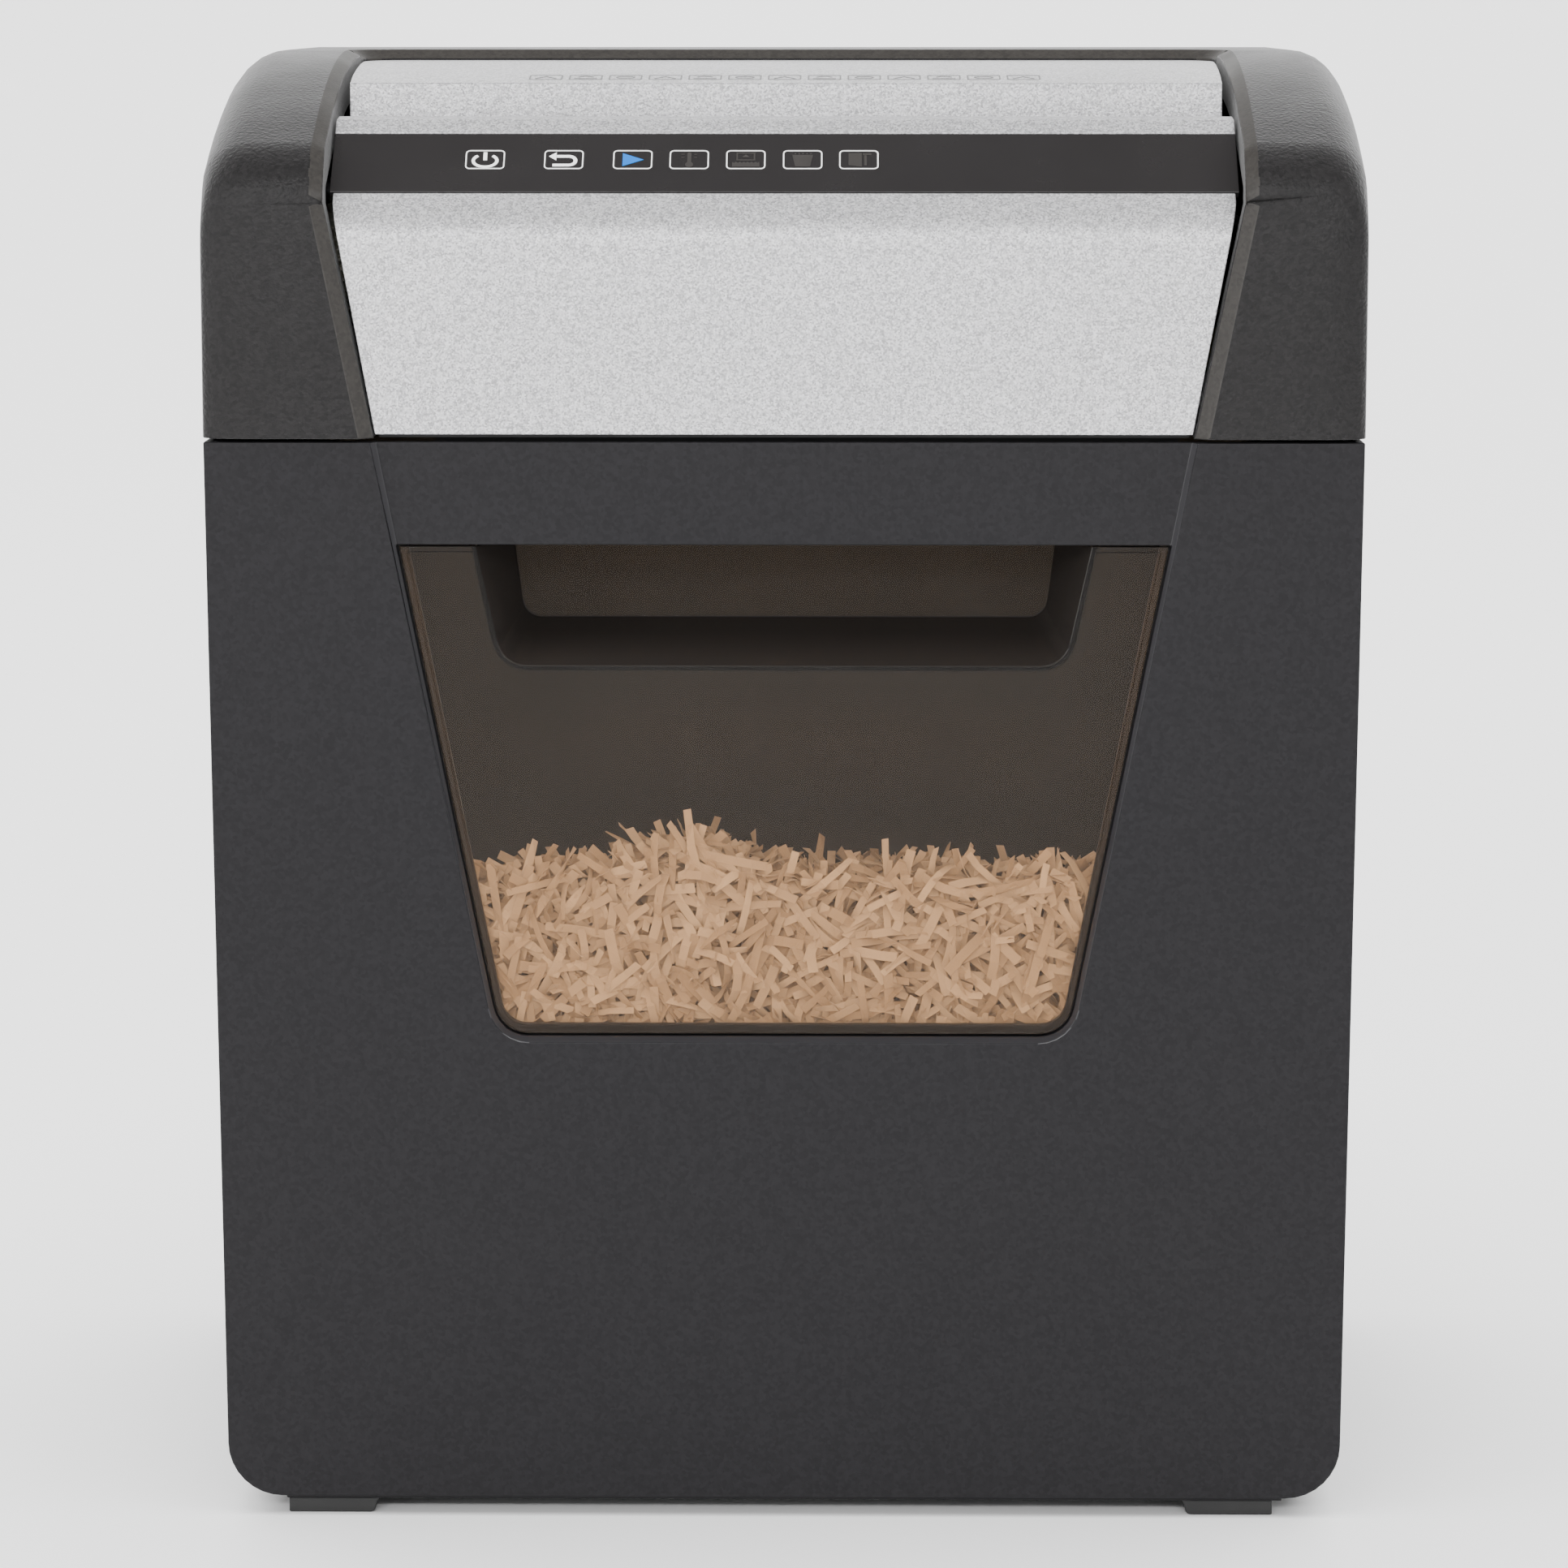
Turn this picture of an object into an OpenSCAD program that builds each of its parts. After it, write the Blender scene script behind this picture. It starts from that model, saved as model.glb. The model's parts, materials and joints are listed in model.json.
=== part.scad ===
// Cross-cut paper shredder with a pull-out bin, for letter-size paper.
// Millimetres. +Z is up, the front faces -Y, and the origin is on the floor under the middle of the case.

/* [Case] */
// Half the width of the head where it meets the cabinet
head_half_w = 177; // [170:0.5:182]
// Half the depth of the whole machine
half_d = 135; // [132:0.5:140]
// Height of the seam between the cabinet and the head
seam_z = 338; // [336:1:340]
// Height of the flat top of the head
top_z = 454; // [452:0.5:458]
// Half the width of the cabinet just under the seam
cab_top_half_w = 176.6; // [174:0.2:176.8]
// Half the width of the cabinet at its foot
cab_foot_half_w = 173.8; // [170:0.2:174]
// Wall of the moulded covers
wall = 2.6; // [2.2:0.2:3]

/* [Window] */
// Half the width of the front trapezoid at the window's lower edge
trap_half_w = 89.9; // [86:0.5:92]
// How much the trapezoid widens on each side for each millimetre of height
trap_lean = 0.186; // [0.17:0.005:0.19]
// Lower edge of the window
window_z = 153; // [150:1:156]
// Upper edge of the window
window_top_z = 305.5; // [300:0.5:308]
// Corner radius of the window
window_r = 11; // [8:1:14]

/* [Paper entry] */
// Length of the paper slot
slot_w = 222; // [218:1:224]
// Sideways offset of the slot, which makes room for the gears
slot_x = 7; // [5:1:8]
// Width of the slot at its throat
throat = 5; // [4.6:0.2:5.4]

/* [Cutters] */
// Distance between the two cutter shafts
shaft_gap = 41; // [40:0.5:42]
// Outer radius of the cutter discs
disc_r = 22.5; // [22:0.1:22.8]
// Thickness of one cutter disc
disc_t = 3.7; // [3.4:0.1:3.8]
// Cutter discs on each shaft
disc_count = 27; // [25:1:27]
// Hooks round one disc
hook_count = 8; // [6:1:9]

/* [Bin] */
// Half the width of the bin
bin_half_w = 167; // [160:1:168]
// Height of the bin's rim
bin_top_z = 322; // [300:1:324]
// Wall of the bin
bin_wall = 2.4; // [2:0.2:3]
// Height of the shredded paper at the sides
paper_z = 199; // [170:1:208]

/* [Hidden] */

// ---- derived sizes of the case ----
front_y = -half_d;
panel_y = front_y + 1;
inset_y = front_y + 3;
window_y = inset_y + 0.8;
head_back_y = half_d - 2;
bend_z = 409;
shoulder_r = 20;
slope = 24.3;
crown_r = 300;
back_r = 32;
edge_r = 14;
edge_share = 0.3;
shoulder = [front_y + shoulder_r, bend_z];
slope_offset = -sin(slope) * shoulder[0] + cos(slope) * shoulder[1] + shoulder_r;
crown_z = top_z - crown_r;
crown_y = (cos(slope) * crown_z - (slope_offset - crown_r)) / sin(slope);
ear_gap = 0.6;
top_opening_half_w = 138.8;
bevel_w = 4;
bevel_d = 3;
collar_t = 2;
collar_deep = 14;
flange_t = 3.4;
rim_y = 12;
opening_r = 12;
panel_bottom_z = 6.4;
base_z = 4.8;
tongue_t = 1.3;
foot_corner_r = 17;
feet_x = -1.1;
cabinet_front_y = front_y + 23.8;

// ---- front centre section: fascia, control strip and paper entry ----
strip_slope = 40;
fascia_r = 15;
fascia_arc_z = 396.5;
fascia_flat = 6.6;
strip_w = 26.9;
lip_w = 6.4;
skin = 2.5;
strip_dir = [cos(strip_slope), sin(strip_slope)];
strip_normal = [-sin(strip_slope), cos(strip_slope)];
arc_end = [inset_y + fascia_r * (1 - sin(strip_slope)), fascia_arc_z + fascia_r * cos(strip_slope)];
strip_foot = arc_end + fascia_flat * strip_dir;
strip_head = strip_foot + strip_w * strip_dir;
lip_head = strip_head + lip_w * strip_dir;
centre_half_w = 137.2;
strip_half_w = 138.4;
plate_half_w = 136;
plate_back_half_w = 138.6;
throat_y = -84;
lip_back = [-88, 434.4];
plate_front = [-76, 444.4];
plate_rise = [[-60, 446.7], [-40, 448.4], [-18, 449.7], [rim_y - 0.6, 450.5]];
throat_top_z = 414;
throat_foot_z = 400;

// ---- cutter block ----
shaft_z = 375;
front_shaft_y = throat_y + throat / 2 - shaft_gap / 2;
rear_shaft_y = front_shaft_y + shaft_gap;
front_axis = [front_shaft_y, shaft_z];
rear_axis = [rear_shaft_y, shaft_z];
disc_pitch = 8;
spacer_t = disc_pitch - disc_t;
disc_root_r = 20;
spacer_r = 17;
hex_r = 8;
journal_r = 5;
running = 0.05;
bush_r = 9;
comb_z = 355;
comb_h = 16;
comb_tip = 3;
comb_reach = disc_r + 2.9;
comb_back = 2.2;
block_x0 = slot_x - slot_w / 2;
block_x1 = slot_x + slot_w / 2;
plate_t = 3;
left_plate_x = block_x0 - 4 - plate_t;
right_plate_x = block_x1 + 4;
tray_t = 3;
tray_top_z = seam_z + tray_t;
tie_rod_at = [[-115, 350], [-44, 350], [-118, 396]];
tie_rod_r = 3;
rod_nut_t = 2.6;
gearbox_post_at = [[60, 348], [70, 405], [-52, 411]];
gearbox_post_r = 2;
first_disc_x = block_x0 + 2;

// ---- gear train, seen from the +X side ----
pressure = 25;
cutter_teeth = 20;
drive_teeth = 40;
drive_module = 1.5;
slow_teeth = 60;
slow_module = 1;
fast_teeth = 60;
fast_module = 0.8;
pinion_teeth = 12;
slow_dir = 15;
fast_dir = -10;
motor_dir = 0;
slow_axis = rear_axis + (drive_teeth + pinion_teeth) * drive_module / 2 * [cos(slow_dir), sin(slow_dir)];
fast_axis = slow_axis + (slow_teeth + pinion_teeth) * slow_module / 2 * [cos(fast_dir), sin(fast_dir)];
motor_axis = fast_axis + (fast_teeth + pinion_teeth) * fast_module / 2 * [cos(motor_dir), sin(motor_dir)];
cutter_gear_x = -122;
drive_gear_x = -134;
slow_gear_x = -146;
fast_gear_x = -158;
gear_w = 8;
gearbox_plate_x = -163;
slow_axle_r = 4;
fast_axle_r = 3;

// How far a gear is turned to mesh with another that has a tooth at 0 and from which it stands at toward.
function mesh_turn(teeth, toward, other_teeth) =
  toward + 180 - (0.5 - toward * teeth / 360) * 360 / other_teeth;

cutter_module = shaft_gap / cutter_teeth;
rear_gear_turn = mesh_turn(cutter_teeth, 0, cutter_teeth);
slow_pinion_turn = mesh_turn(drive_teeth, slow_dir, pinion_teeth);
fast_pinion_turn = mesh_turn(slow_teeth, fast_dir, pinion_teeth);
motor_pinion_turn = mesh_turn(fast_teeth, motor_dir, pinion_teeth);

// ---- motor ----
stator_x0 = -84;
stator_x1 = -34;
stator_half = 29;
stator_bore_r = 19;
armature_r = 18.3;
motor_journal_r = 4;
motor_nose_r = 3;
drive_bracket_x = -100;
brush_bracket_x = -4;

// ---- bin ----
bin_front_y = inset_y + 4.4;
bin_back_y = 124;
bin_floor_z = 20;
bin_r = 14;
rail_x = 112;
scoop_back_y = -97;
scoop_roof_z = 321;
scoop_wall = 2;
heap_skin = 6;
heap_crest_y = -104;
heap_slope = 0.22;
window_t = 2.5;
window_gap = 0.5;
border = 3;

grip_back_y = -119;
grip_half_w = 114.4;
bin_screw_at = [[-150, 60], [150, 60], [-150, 170], [150, 170], [-150, 285], [150, 285]];

// ---- screws ----
screw_r = 1.65;
foot_screw_at = [for (x = [-143, 143], y = [-104, 111]) [x, y]];
head_screw_at = [for (x = [-158, 158], y = [-100, 112]) [x, y]];

// ---- rear fittings ----
switch_x = 112;
switch_z = 372;
rocker_axis = [127.4, switch_z];
rocker_tilt = 9;
gland_x = 150;
gland_z = 352;

// ---- boards and wires, from end to end ----
board_z = 350.6;
board_t = 1.6;
strip_board_gap = 8;
motor_lead = [[1.5, 62, 392], [8, 76, 394], [20, 84, 388], [36, 84, 374], [48, 82, 364], [52, 80, 356],
  [52, 80, board_z]];
switch_lead = [[112, 112, 368], [112, 106, 368], [111, 99, 364], [107, 90, 360], [102, 82, 358], [99, 78, 355],
  [99, 78, board_z]];
panel_lead = [[45.8, -107, 413.4], [62, -107, 413.4], [100, -106, 411], [132, -102, 406], [150, -88, 398],
  [154, -62, 392], [152, -34, 384], [146, -10, 372], [136, 4, 362], [134, 6, 356], [134, 6, board_z]];

// A point set round an arc in degrees, ends included.
function arc(centre, r, a0, a1, n) =
  [for (i = [0:n]) centre + r * [cos(a0 + (a1 - a0) * i / n), sin(a0 + (a1 - a0) * i / n)]];

function trap_x(z) = trap_half_w + trap_lean * (z - window_z);

function round_rect(x0, y0, x1, y1, r, n = 6) = concat(
  arc([x1 - r, y0 + r], r, -90, 0, n),
  arc([x1 - r, y1 - r], r, 0, 90, n),
  arc([x0 + r, y1 - r], r, 90, 180, n),
  arc([x0 + r, y0 + r], r, 180, 270, n));

// Extrudes a shape drawn in (Y, Z) along X.
module along_x(x0, x1) {
  translate([x0, 0, 0]) rotate([90, 0, 90]) linear_extrude(x1 - x0) children();
}

// Extrudes a shape drawn in (X, Z) along Y.
module along_y(y0, y1) {
  translate([0, y1, 0]) rotate([90, 0, 0]) linear_extrude(y1 - y0) children();
}

// A round bar along X about an axis given as [y, z].
module x_bar(axis, r, x0, x1, fn = 48) {
  translate([x0, axis[0], axis[1]]) rotate([0, 90, 0]) cylinder(r = r, h = x1 - x0, $fn = fn);
}

module block(low, high) {
  translate(low) cube(high - low);
}

// ---- gears ----
function inv(a) = tan(a) - a * PI / 180;

function flank_angle(rho, r, teeth, backlash) =
  90 / teeth - backlash / r * 90 / PI
  + (inv(pressure) - inv(acos(min(1, r * cos(pressure) / rho)))) * 180 / PI;

module gear_outline(m, teeth, turn = 0, backlash = 0.14) {
  steps = 4;
  r = m * teeth / 2;
  tip = r + 0.92 * m;
  root = r - 1.2 * m;
  low = max(root, r * cos(pressure) + 0.01);
  radii = [for (i = [0:steps]) low + (tip - low) * i / steps];
  flank = [for (rho = radii) flank_angle(rho, r, teeth, backlash)];
  polygon([for (t = [0:teeth - 1]) let (mid = turn + 360 * t / teeth) each concat(
    [root * [cos(mid - flank[0]), sin(mid - flank[0])]],
    [for (i = [0:steps]) radii[i] * [cos(mid - flank[i]), sin(mid - flank[i])]],
    [for (i = [steps:-1:0]) radii[i] * [cos(mid + flank[i]), sin(mid + flank[i])]],
    [root * [cos(mid + flank[0]), sin(mid + flank[0])]])]);
}

module gear(axis, x0, m, teeth, turn, bore_r, width = gear_w) {
  difference() {
    translate([0, axis[0], axis[1]]) along_x(x0, x0 + width) gear_outline(m, teeth, turn);
    x_bar(axis, bore_r, x0 - 1, x0 + width + 1);
  }
}

// A wheel and its pinion on one hub, running on a fixed axle.
module gear_cluster(axis, wheel_x, wheel_m, wheel_teeth, pinion_x, pinion_m, pinion_turn, bore_r) {
  difference() {
    translate([0, axis[0], axis[1]]) {
      along_x(wheel_x, wheel_x + gear_w) gear_outline(wheel_m, wheel_teeth);
      along_x(wheel_x + gear_w, pinion_x + gear_w) gear_outline(pinion_m, pinion_teeth, pinion_turn);
    }
    x_bar(axis, bore_r, wheel_x - 1, pinion_x + gear_w + 1);
  }
}

// ---- head covers ----
// Side profile of the head in (Y, Z): drop lowers the top, and inset pulls the front and back in.
function head_profile(inset, drop) = concat(
  [[head_back_y - inset, seam_z], [head_back_y - inset, top_z - back_r - drop]],
  arc([head_back_y - back_r - inset, top_z - back_r - drop], back_r, 0, 90, 6),
  arc([crown_y, crown_z - drop], crown_r, 90, 90 + slope, 8),
  arc([shoulder[0] + inset, shoulder[1] - drop], shoulder_r, 90 + slope, 180, 8),
  [[front_y + inset, seam_z]]);

module head_solid(shrink) {
  hull() for (a = [0:15:90]) {
    half = head_half_w - edge_r - shrink + edge_r * sin(a);
    drop = edge_r * (1 - cos(a));
    along_x(-half, half) polygon(head_profile(shrink + edge_share * drop, shrink + drop));
  }
}

// The front opening between the two shoulders, in (X, Z).
module front_bevel(grow) {
  polygon([[-trap_x(seam_z) - grow, seam_z - 1], [trap_x(seam_z) + grow, seam_z - 1],
    [top_opening_half_w + grow, bend_z], [-top_opening_half_w - grow, bend_z]]);
}

module front_opening(grow) {
  polygon([
    [-trap_x(seam_z) - grow, seam_z - 1], [trap_x(seam_z) + grow, seam_z - 1],
    [trap_x(seam_z) + grow, seam_z], [top_opening_half_w + grow, bend_z],
    [top_opening_half_w + grow, top_z + 5], [-top_opening_half_w - grow, top_z + 5],
    [-top_opening_half_w - grow, bend_z], [-trap_x(seam_z) - grow, seam_z]]);
}

// The same opening in (X, Y), from front to its round rear corners.
module opening_plan(grow, front) {
  half = top_opening_half_w + ear_gap + grow;
  back = rim_y + grow;
  r = opening_r + grow;
  polygon(concat([[-half, front], [half, front]],
    arc([half - r, back - r], r, 0, 90, 6), arc([-half + r, back - r], r, 90, 180, 6)));
}

module opening(grow) {
  intersection() {
    along_y(front_y - 1, rim_y + grow) front_opening(ear_gap + grow);
    linear_extrude(top_z + 5) opening_plan(grow, front_y - 2);
  }
}

// What the bevel takes off over the top: along the two sides, and then round the back.
module top_bevel() {
  low = top_opening_half_w + ear_gap;
  straight_y = rim_y - opening_r;
  for (side = [-1, 1]) scale([side, 1, 1]) difference() {
    block([low - 1, front_y - 1, bend_z], [low + bevel_w, straight_y, top_z + 1]);
    hull() {
      along_x(low - 2, low) polygon(head_profile(bevel_d, bevel_d));
      along_x(low + bevel_w, low + bevel_w + 0.1) polygon(head_profile(0, 0));
    }
  }
  hull() {
    translate([0, 0, top_z - bevel_d]) linear_extrude(0.1) opening_plan(0, straight_y);
    translate([0, 0, top_z]) linear_extrude(0.1) opening_plan(bevel_w, straight_y);
  }
}

// The walls that stand round the front opening, between the outer skin and collar_deep below it.
module collar() {
  difference() {
    opening(collar_t);
    head_solid(collar_deep);
  }
}

module head_cover() {
  color("#3c3a3b") difference() {
    head_solid(0);
    difference() {
      translate([0, 0, -0.01]) head_solid(wall);
      collar();
    }
    opening(0);
    // bevel round the opening, on the front and then over the top
    hull() {
      along_y(front_y + bevel_d, front_y + bevel_d + 0.1) front_bevel(ear_gap);
      along_y(front_y - 0.1, front_y) front_bevel(ear_gap + bevel_w);
    }
    top_bevel();
    // rear cut-outs for the switch and the cord gland
    block([switch_x - 9.6, 120, switch_z - 14.1], [switch_x + 9.6, 140, switch_z + 14.1]);
    translate([gland_x, 120, gland_z]) rotate([-90, 0, 0]) cylinder(r = 8, h = 20, $fn = 48);
    // cooling slots in the rear wall
    for (i = [0:8]) block([-120 + 18 * i, 120, 380], [-117.4 + 18 * i, 140, 412]);
  }
}

module fascia_panel() {
  centre = [inset_y + fascia_r, fascia_arc_z];
  foot = seam_z + 1.2;
  edge = strip_foot - 0.3 * strip_dir;
  outer = concat([[inset_y, foot]], arc(centre, fascia_r, 180, 90 + strip_slope, 12), [edge]);
  inner = concat([edge - skin * strip_normal],
    arc(centre, fascia_r - skin, 90 + strip_slope, 180, 12), [[inset_y + skin, foot]]);
  color("#c9c9cd") intersection() {
    along_x(-140, 140) polygon(concat(outer, inner));
    along_y(front_y - 1, rim_y) polygon([
      [-trap_x(seam_z) + 0.1, seam_z], [trap_x(seam_z) - 0.1, seam_z], [centre_half_w, bend_z],
      [centre_half_w, top_z], [-centre_half_w, top_z], [-centre_half_w, bend_z]]);
  }
}

module control_strip() {
  low = strip_foot + 0.1 * strip_dir;
  high = strip_head - 0.3 * strip_dir;
  color("#39383a") along_x(-strip_half_w, strip_half_w)
    polygon([low, high, high - skin * strip_normal, low - skin * strip_normal]);
}

// Room over the drive gear at one end of the paper guide.
module gear_clearance() {
  block([-140, -95, throat_foot_z - 1], [left_plate_x - 2, -70, throat_foot_z + 8]);
}

// Front wall of the paper guide, with the solid shoulders that end the slot on both sides.
module entry_lip() {
  front = strip_head;
  color("#bdbdbf") difference() {
    union() {
      along_x(-strip_half_w, strip_half_w) polygon([
        front, lip_head, lip_back, [throat_y, throat_top_z], [throat_y, throat_foot_z],
        [throat_y - skin, throat_foot_z], [throat_y - skin, throat_top_z - 1], [-93, 426],
        front - skin * strip_normal]);
      for (x = [[-centre_half_w + 3.2, block_x0], [block_x1, centre_half_w - 3.2]])
        block([x[0], throat_y - 0.5, throat_foot_z], [x[1], throat_y + throat - 0.2, 428]);
    }
    gear_clearance();
  }
}

// Rear wall of the paper guide and the top plate behind it.
module entry_plate() {
  top = concat([plate_front], plate_rise);
  under = [for (i = [len(plate_rise) - 1:-1:0]) plate_rise[i] - [0, skin]];
  corner = opening_r - ear_gap;
  color("#d2d2d0") difference() {
    intersection() {
      along_x(-plate_back_half_w, plate_back_half_w) polygon(concat(
        [[throat_y + throat, throat_foot_z], [throat_y + throat, throat_top_z]], top, under,
        [plate_front + [skin + 0.5, -skin - 0.3], [throat_y + throat + skin + 0.3, throat_top_z],
         [throat_y + throat + skin, throat_foot_z]]));
      linear_extrude(top_z) polygon(concat([[-plate_half_w, plate_front[0]], [-plate_half_w, -90],
        [plate_half_w, -90], [plate_half_w, plate_front[0]]],
        arc([plate_back_half_w - corner, rim_y - 0.6 - corner], corner, 0, 90, 6),
        arc([-plate_back_half_w + corner, rim_y - 0.6 - corner], corner, 90, 180, 6)));
    }
    gear_clearance();
  }
}

module head_tray() {
  color("#2c2c2e") translate([0, 0, seam_z]) difference() {
    union() {
      linear_extrude(tray_t) polygon(round_rect(-170, -127, 170, 128, 8));
      // collar that guides the shreds down into the bin
      difference() {
        block([block_x0 - 3, -118, -7], [block_x1 + 3, -44, 0]);
        block([block_x0, -115, -8], [block_x1, -47, 1]);
      }
    }
    block([block_x0, -115, -1], [block_x1, -47, tray_t + 1]);
    // room for the walls round the cover's front opening
    for (x = [-126, 126]) block([x - 2.5, -130, -1], [x + 2.5, -120, tray_t + 1]);
    for (at = head_screw_at) translate([at[0], at[1], -1]) cylinder(r = screw_r, h = 6, $fn = 24);
  }
}

// ---- cutter block ----
module plate_bores() {
  for (at = [front_axis, rear_axis]) translate(at) circle(r = bush_r, $fn = 48);
  for (at = tie_rod_at) translate(at) circle(r = tie_rod_r, $fn = 32);
}

module gearbox_bores() {
  translate(slow_axis) circle(r = slow_axle_r, $fn = 48);
  translate(fast_axis) circle(r = fast_axle_r, $fn = 48);
  for (at = gearbox_post_at) translate(at) circle(r = gearbox_post_r, $fn = 32);
}

module cutter_plate_left() {
  color("#9a9ca0") along_x(left_plate_x, left_plate_x + plate_t) difference() {
    polygon([[-124, tray_top_z], [-38, tray_top_z], [-38, 355], [10, 355], [10, 343], [80, 343], [80, 413],
      [-40, 417], [-60, 417], [-60, 397], [-108, 397], [-112, 402], [-124, 402]]);
    plate_bores();
    gearbox_bores();
    translate(motor_axis) circle(r = 11, $fn = 48);
  }
}

module cutter_plate_right() {
  color("#9a9ca0") along_x(right_plate_x, right_plate_x + plate_t) difference() {
    polygon([[-124, tray_top_z], [-38, tray_top_z], [-38, 389], [-46, 397], [-108, 397], [-112, 402],
      [-124, 402]]);
    plate_bores();
  }
}

module tie_rods() {
  color("#b9bbbf") for (axis = tie_rod_at) {
    x_bar(axis, tie_rod_r, left_plate_x, right_plate_x + plate_t);
    for (x = [left_plate_x - rod_nut_t, right_plate_x + plate_t]) x_bar(axis, 5.5, x, x + rod_nut_t, 6);
  }
}

module cutter_bearings() {
  color("#b08d57") for (axis = [front_axis, rear_axis], x = [left_plate_x, right_plate_x - 2]) difference() {
    x_bar(axis, bush_r, x, x + 5);
    x_bar(axis, journal_r + running, x - 1, x + 6);
  }
}

module cutter_shaft(axis, x0) {
  color("#8d9095") {
    x_bar(axis, journal_r, x0, block_x0 - 0.4);
    x_bar(axis, hex_r, block_x0 - 0.4, block_x1 + 0.4, 6);
    x_bar(axis, journal_r, block_x1 + 0.4, right_plate_x + plate_t + 6);
  }
}

module front_cutter_shaft() { cutter_shaft(front_axis, cutter_gear_x - 3); }
module rear_cutter_shaft() { cutter_shaft(rear_axis, drive_gear_x - 3); }

// One disc with saw-like hooks. hand is 1 or -1 for the way the hooks point.
module disc_outline(hand) {
  polygon([for (i = [0:hook_count - 1]) each [
    disc_r * [cos(360 / hook_count * i), hand * sin(360 / hook_count * i)],
    (disc_r - 0.5) * [cos(360 / hook_count * (i + 0.4)), hand * sin(360 / hook_count * (i + 0.4))],
    (disc_r - 1.2) * [cos(360 / hook_count * (i + 0.75)), hand * sin(360 / hook_count * (i + 0.75))],
    disc_root_r * [cos(360 / hook_count * (i + 0.86)), hand * sin(360 / hook_count * (i + 0.86))]]]);
}

module ring_stack(axis, x0, thickness) {
  for (i = [0:disc_count - 1]) difference() {
    translate([0, axis[0], axis[1]]) along_x(x0 + disc_pitch * i, x0 + disc_pitch * i + thickness)
      rotate(8 * i) children();
    x_bar(axis, hex_r, x0 + disc_pitch * i - 1, x0 + disc_pitch * i + thickness + 1, 6);
  }
}

module front_cutter_discs() {
  color("#74777c") ring_stack(front_axis, first_disc_x, disc_t) disc_outline(1);
}
module rear_cutter_discs() {
  color("#74777c") ring_stack(rear_axis, first_disc_x + disc_pitch / 2, disc_t) disc_outline(-1);
}
module front_spacer_rings() {
  color("#85888d") ring_stack(front_axis, first_disc_x + disc_t, spacer_t) circle(r = spacer_r, $fn = 36);
}
module rear_spacer_rings() {
  color("#85888d") ring_stack(rear_axis, first_disc_x + disc_pitch / 2 - spacer_t, spacer_t)
    circle(r = spacer_r, $fn = 36);
}

// A comb whose fingers reach between the discs and clear the spacers. side is -1 in front, 1 behind.
module stripper_comb(axis, side, x0) {
  finger_y = axis[0] + (side > 0 ? comb_tip : -comb_reach);
  back_y = axis[0] + (side > 0 ? comb_reach - comb_back : -comb_reach);
  color("#d8d4c8") difference() {
    union() {
      for (i = [0:disc_count - 2]) translate([x0 + disc_pitch * i + 0.4, finger_y, comb_z])
        cube([spacer_t - 0.8, comb_reach - comb_tip, comb_h]);
      translate([left_plate_x + plate_t, back_y, comb_z])
        cube([right_plate_x - left_plate_x - plate_t, comb_back, comb_h]);
    }
    x_bar(axis, spacer_r + 0.4, block_x0 - 5, block_x1 + 5);
  }
}

module front_stripper_comb() { stripper_comb(front_axis, -1, first_disc_x + disc_t); }
module rear_stripper_comb() { stripper_comb(rear_axis, 1, first_disc_x + disc_pitch / 2 + disc_t); }

module shaft_clip(axis) {
  x = right_plate_x + plate_t + 1;
  color("#3a3a3c") difference() {
    x_bar(axis, journal_r + 3, x, x + 1.2);
    x_bar(axis, journal_r, x - 1, x + 3);
  }
}

module front_shaft_clip() { shaft_clip(front_axis); }
module rear_shaft_clip() { shaft_clip(rear_axis); }

// ---- gears and motor ----
module front_cutter_gear() {
  color("#6f7276") gear(front_axis, cutter_gear_x, cutter_module, cutter_teeth, 0, journal_r);
}
module rear_cutter_gear() {
  color("#6f7276") gear(rear_axis, cutter_gear_x, cutter_module, cutter_teeth, rear_gear_turn, journal_r);
}
module drive_gear() {
  color("#5f6266") gear(rear_axis, drive_gear_x, drive_module, drive_teeth, 0, journal_r);
}
module gear_cluster_slow() {
  color("#e4e0d4") gear_cluster(slow_axis, slow_gear_x, slow_module, slow_teeth,
    drive_gear_x, drive_module, slow_pinion_turn, slow_axle_r + running);
}
module gear_cluster_fast() {
  color("#e4e0d4") gear_cluster(fast_axis, fast_gear_x, fast_module, fast_teeth,
    slow_gear_x, slow_module, fast_pinion_turn, fast_axle_r + running);
}
module gear_axles() {
  color("#b9bbbf") {
    x_bar(slow_axis, slow_axle_r, gearbox_plate_x, left_plate_x + plate_t);
    x_bar(fast_axis, fast_axle_r, gearbox_plate_x, left_plate_x + plate_t);
  }
}
module gearbox_plate() {
  color("#8f9296") along_x(gearbox_plate_x, gearbox_plate_x + 2) difference() {
    polygon([[-40, 352], [78, 343], [78, 413], [-40, 417], [-59, 417], [-59, 404]]);
    gearbox_bores();
  }
}
module gearbox_spacers() {
  color("#b9bbbf") for (axis = gearbox_post_at) {
    x_bar(axis, 3.5, gearbox_plate_x + 2, left_plate_x, 24);
    x_bar(axis, gearbox_post_r, gearbox_plate_x, gearbox_plate_x + 2);
    x_bar(axis, gearbox_post_r, left_plate_x, left_plate_x + plate_t);
    x_bar(axis, 4, gearbox_plate_x - 2, gearbox_plate_x, 6);
  }
}

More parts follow.
